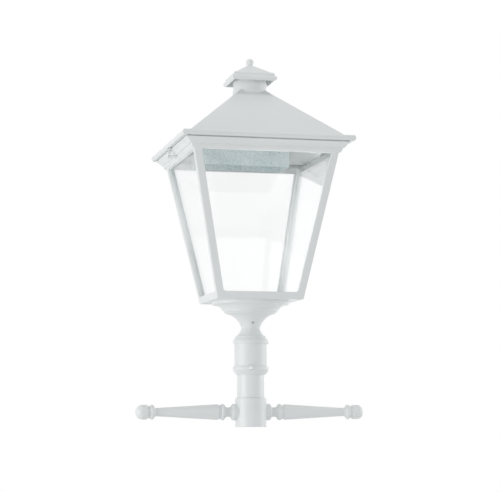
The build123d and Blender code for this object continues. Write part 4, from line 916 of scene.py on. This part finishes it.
# %% [markdown]
# ## Light
# The product stands in a white tent. To the camera, and in reflections, the world is pure white.
# The light that the world really gives is lower, so that the white coat isn't washed out. Six soft
# panels stand round the product: the strongest at the left, because in the picture the left sides
# are the brightest, one at the right, one high above for the roofs, one behind for the light that
# comes through the glass, and two weak ones in front. Their first powers came from rendering each
# alone and solving for the picture's tones, which is quicker and fairer than trying by hand. The
# high one was narrowed afterwards. A seventh, very weak and unseen, stands inside the glass for
# the light that a tent's white floor and walls throw back in there. It was set by trial.

# %% World
world = bpy.data.worlds.new("white_tent")
bpy.context.scene.world = world
world.use_nodes = True
tent = Tree(world.node_tree)
tent.tree.nodes.clear()
camera_ray = tent.node("ShaderNodeLightPath", out="Is Camera Ray")
rays = camera_ray.socket.node.outputs
glossy_ray, passing_ray = Wire(tent, rays["Is Glossy Ray"]), Wire(tent, rays["Is Transmission Ray"])
seen = camera_ray.at_least(glossy_ray).at_least(passing_ray)
white, tent_strength, wall_strength = (1, 1, 1, 1), 0.57, 1.0
light_sockets = {"Color": white, "Strength": tent_strength}
wall_sockets = {"Color": white, "Strength": wall_strength}
tent_light = tent.node("ShaderNodeBackground", None, light_sockets)
tent_wall = tent.node("ShaderNodeBackground", None, wall_sockets)
shown = tent.node("ShaderNodeMixShader", None, {0: seen, 1: tent_light, 2: tent_wall})
tent.node("ShaderNodeOutputWorld", None, {"Surface": shown})
print("world gives", tent_strength, "and shows", wall_strength)


# %% Soft panels
def soft_panel(name, place, target, width, height, power):
    """A rectangular area light at place that faces target: metres and watts."""
    panel = bpy.data.lights.new(name, "AREA")
    panel.shape, panel.size, panel.size_y = "RECTANGLE", width, height
    panel.energy = power
    lamp = bpy.data.objects.new(name, panel)
    bpy.context.scene.collection.objects.link(lamp)
    lamp.location = place
    lamp.rotation_euler = (Vector(target) - Vector(place)).to_track_quat("-Z", "Y").to_euler()
    return lamp


lantern_middle = (0, 0, 0.42)
for name, place, width, height, power in (
    ("left_panel", (-2.6, -0.6, -0.05), 1.8, 1.4, 26.0),
    ("right_panel", (2.6, -0.2, 0.45), 1.8, 1.6, 18.0),
    ("front_panel", (-1.0, -3.2, 2.2), 2.0, 2.0, 6.0),
    ("low_front_panel", (-0.6, -2.4, -0.30), 2.2, 0.6, 1.0),
    ("high_panel", (0.0, -0.4, 2.7), 2.4, 0.5, 8.6),
    ("back_panel", (1.6, 2.4, 0.6), 2.2, 1.8, 12.0),
):
    soft_panel(name, place, lantern_middle, width, height, power)
inner_place, right_back_corner = (-0.03, -0.04, 0.42), (0.12, 0.08, 0.585)
inner = soft_panel("inner_bounce", inner_place, right_back_corner, 0.10, 0.10, 0.24)
inner.visible_camera = inner.visible_glossy = False
print("six soft panels and an inner one")

# %% [markdown]
# ## Floor
# The lantern is made to sit on a post, so the plain floor lies below it by a part of the post. It
# is pale and matt, and it fades out towards its rim, so that no horizon cuts the background.

# %% Floor
floor_depth, floor_radius = 0.45, 3.0
disc = bmesh.new()
bmesh.ops.create_circle(disc, cap_ends=True, segments=96, radius=floor_radius)
bmesh.ops.translate(disc, verts=disc.verts, vec=(0, 0, -floor_depth))
floor_mesh = bpy.data.meshes.new("floor")
disc.to_mesh(floor_mesh)
disc.free()
floor = bpy.data.objects.new("floor", floor_mesh)
bpy.context.scene.collection.objects.link(floor)
paper = Finish("pale_floor", Base_Color=tone(240, 241, 241), Roughness=0.9)
flat = paper.vector("MULTIPLY", paper.place, (1.0, 1.0, 0.0))
distance = paper.node("ShaderNodeVectorMath", {"operation": "LENGTH"}, {0: flat}, out="Value")
fade_start, fade_end = 0.25 * floor_radius, 0.95 * floor_radius
paper.feed("Alpha", 1 - distance.between(fade_start, fade_end))
floor.data.materials.append(paper.material)
print("floor", floor_depth, "m below the fitting")

# %% [markdown]
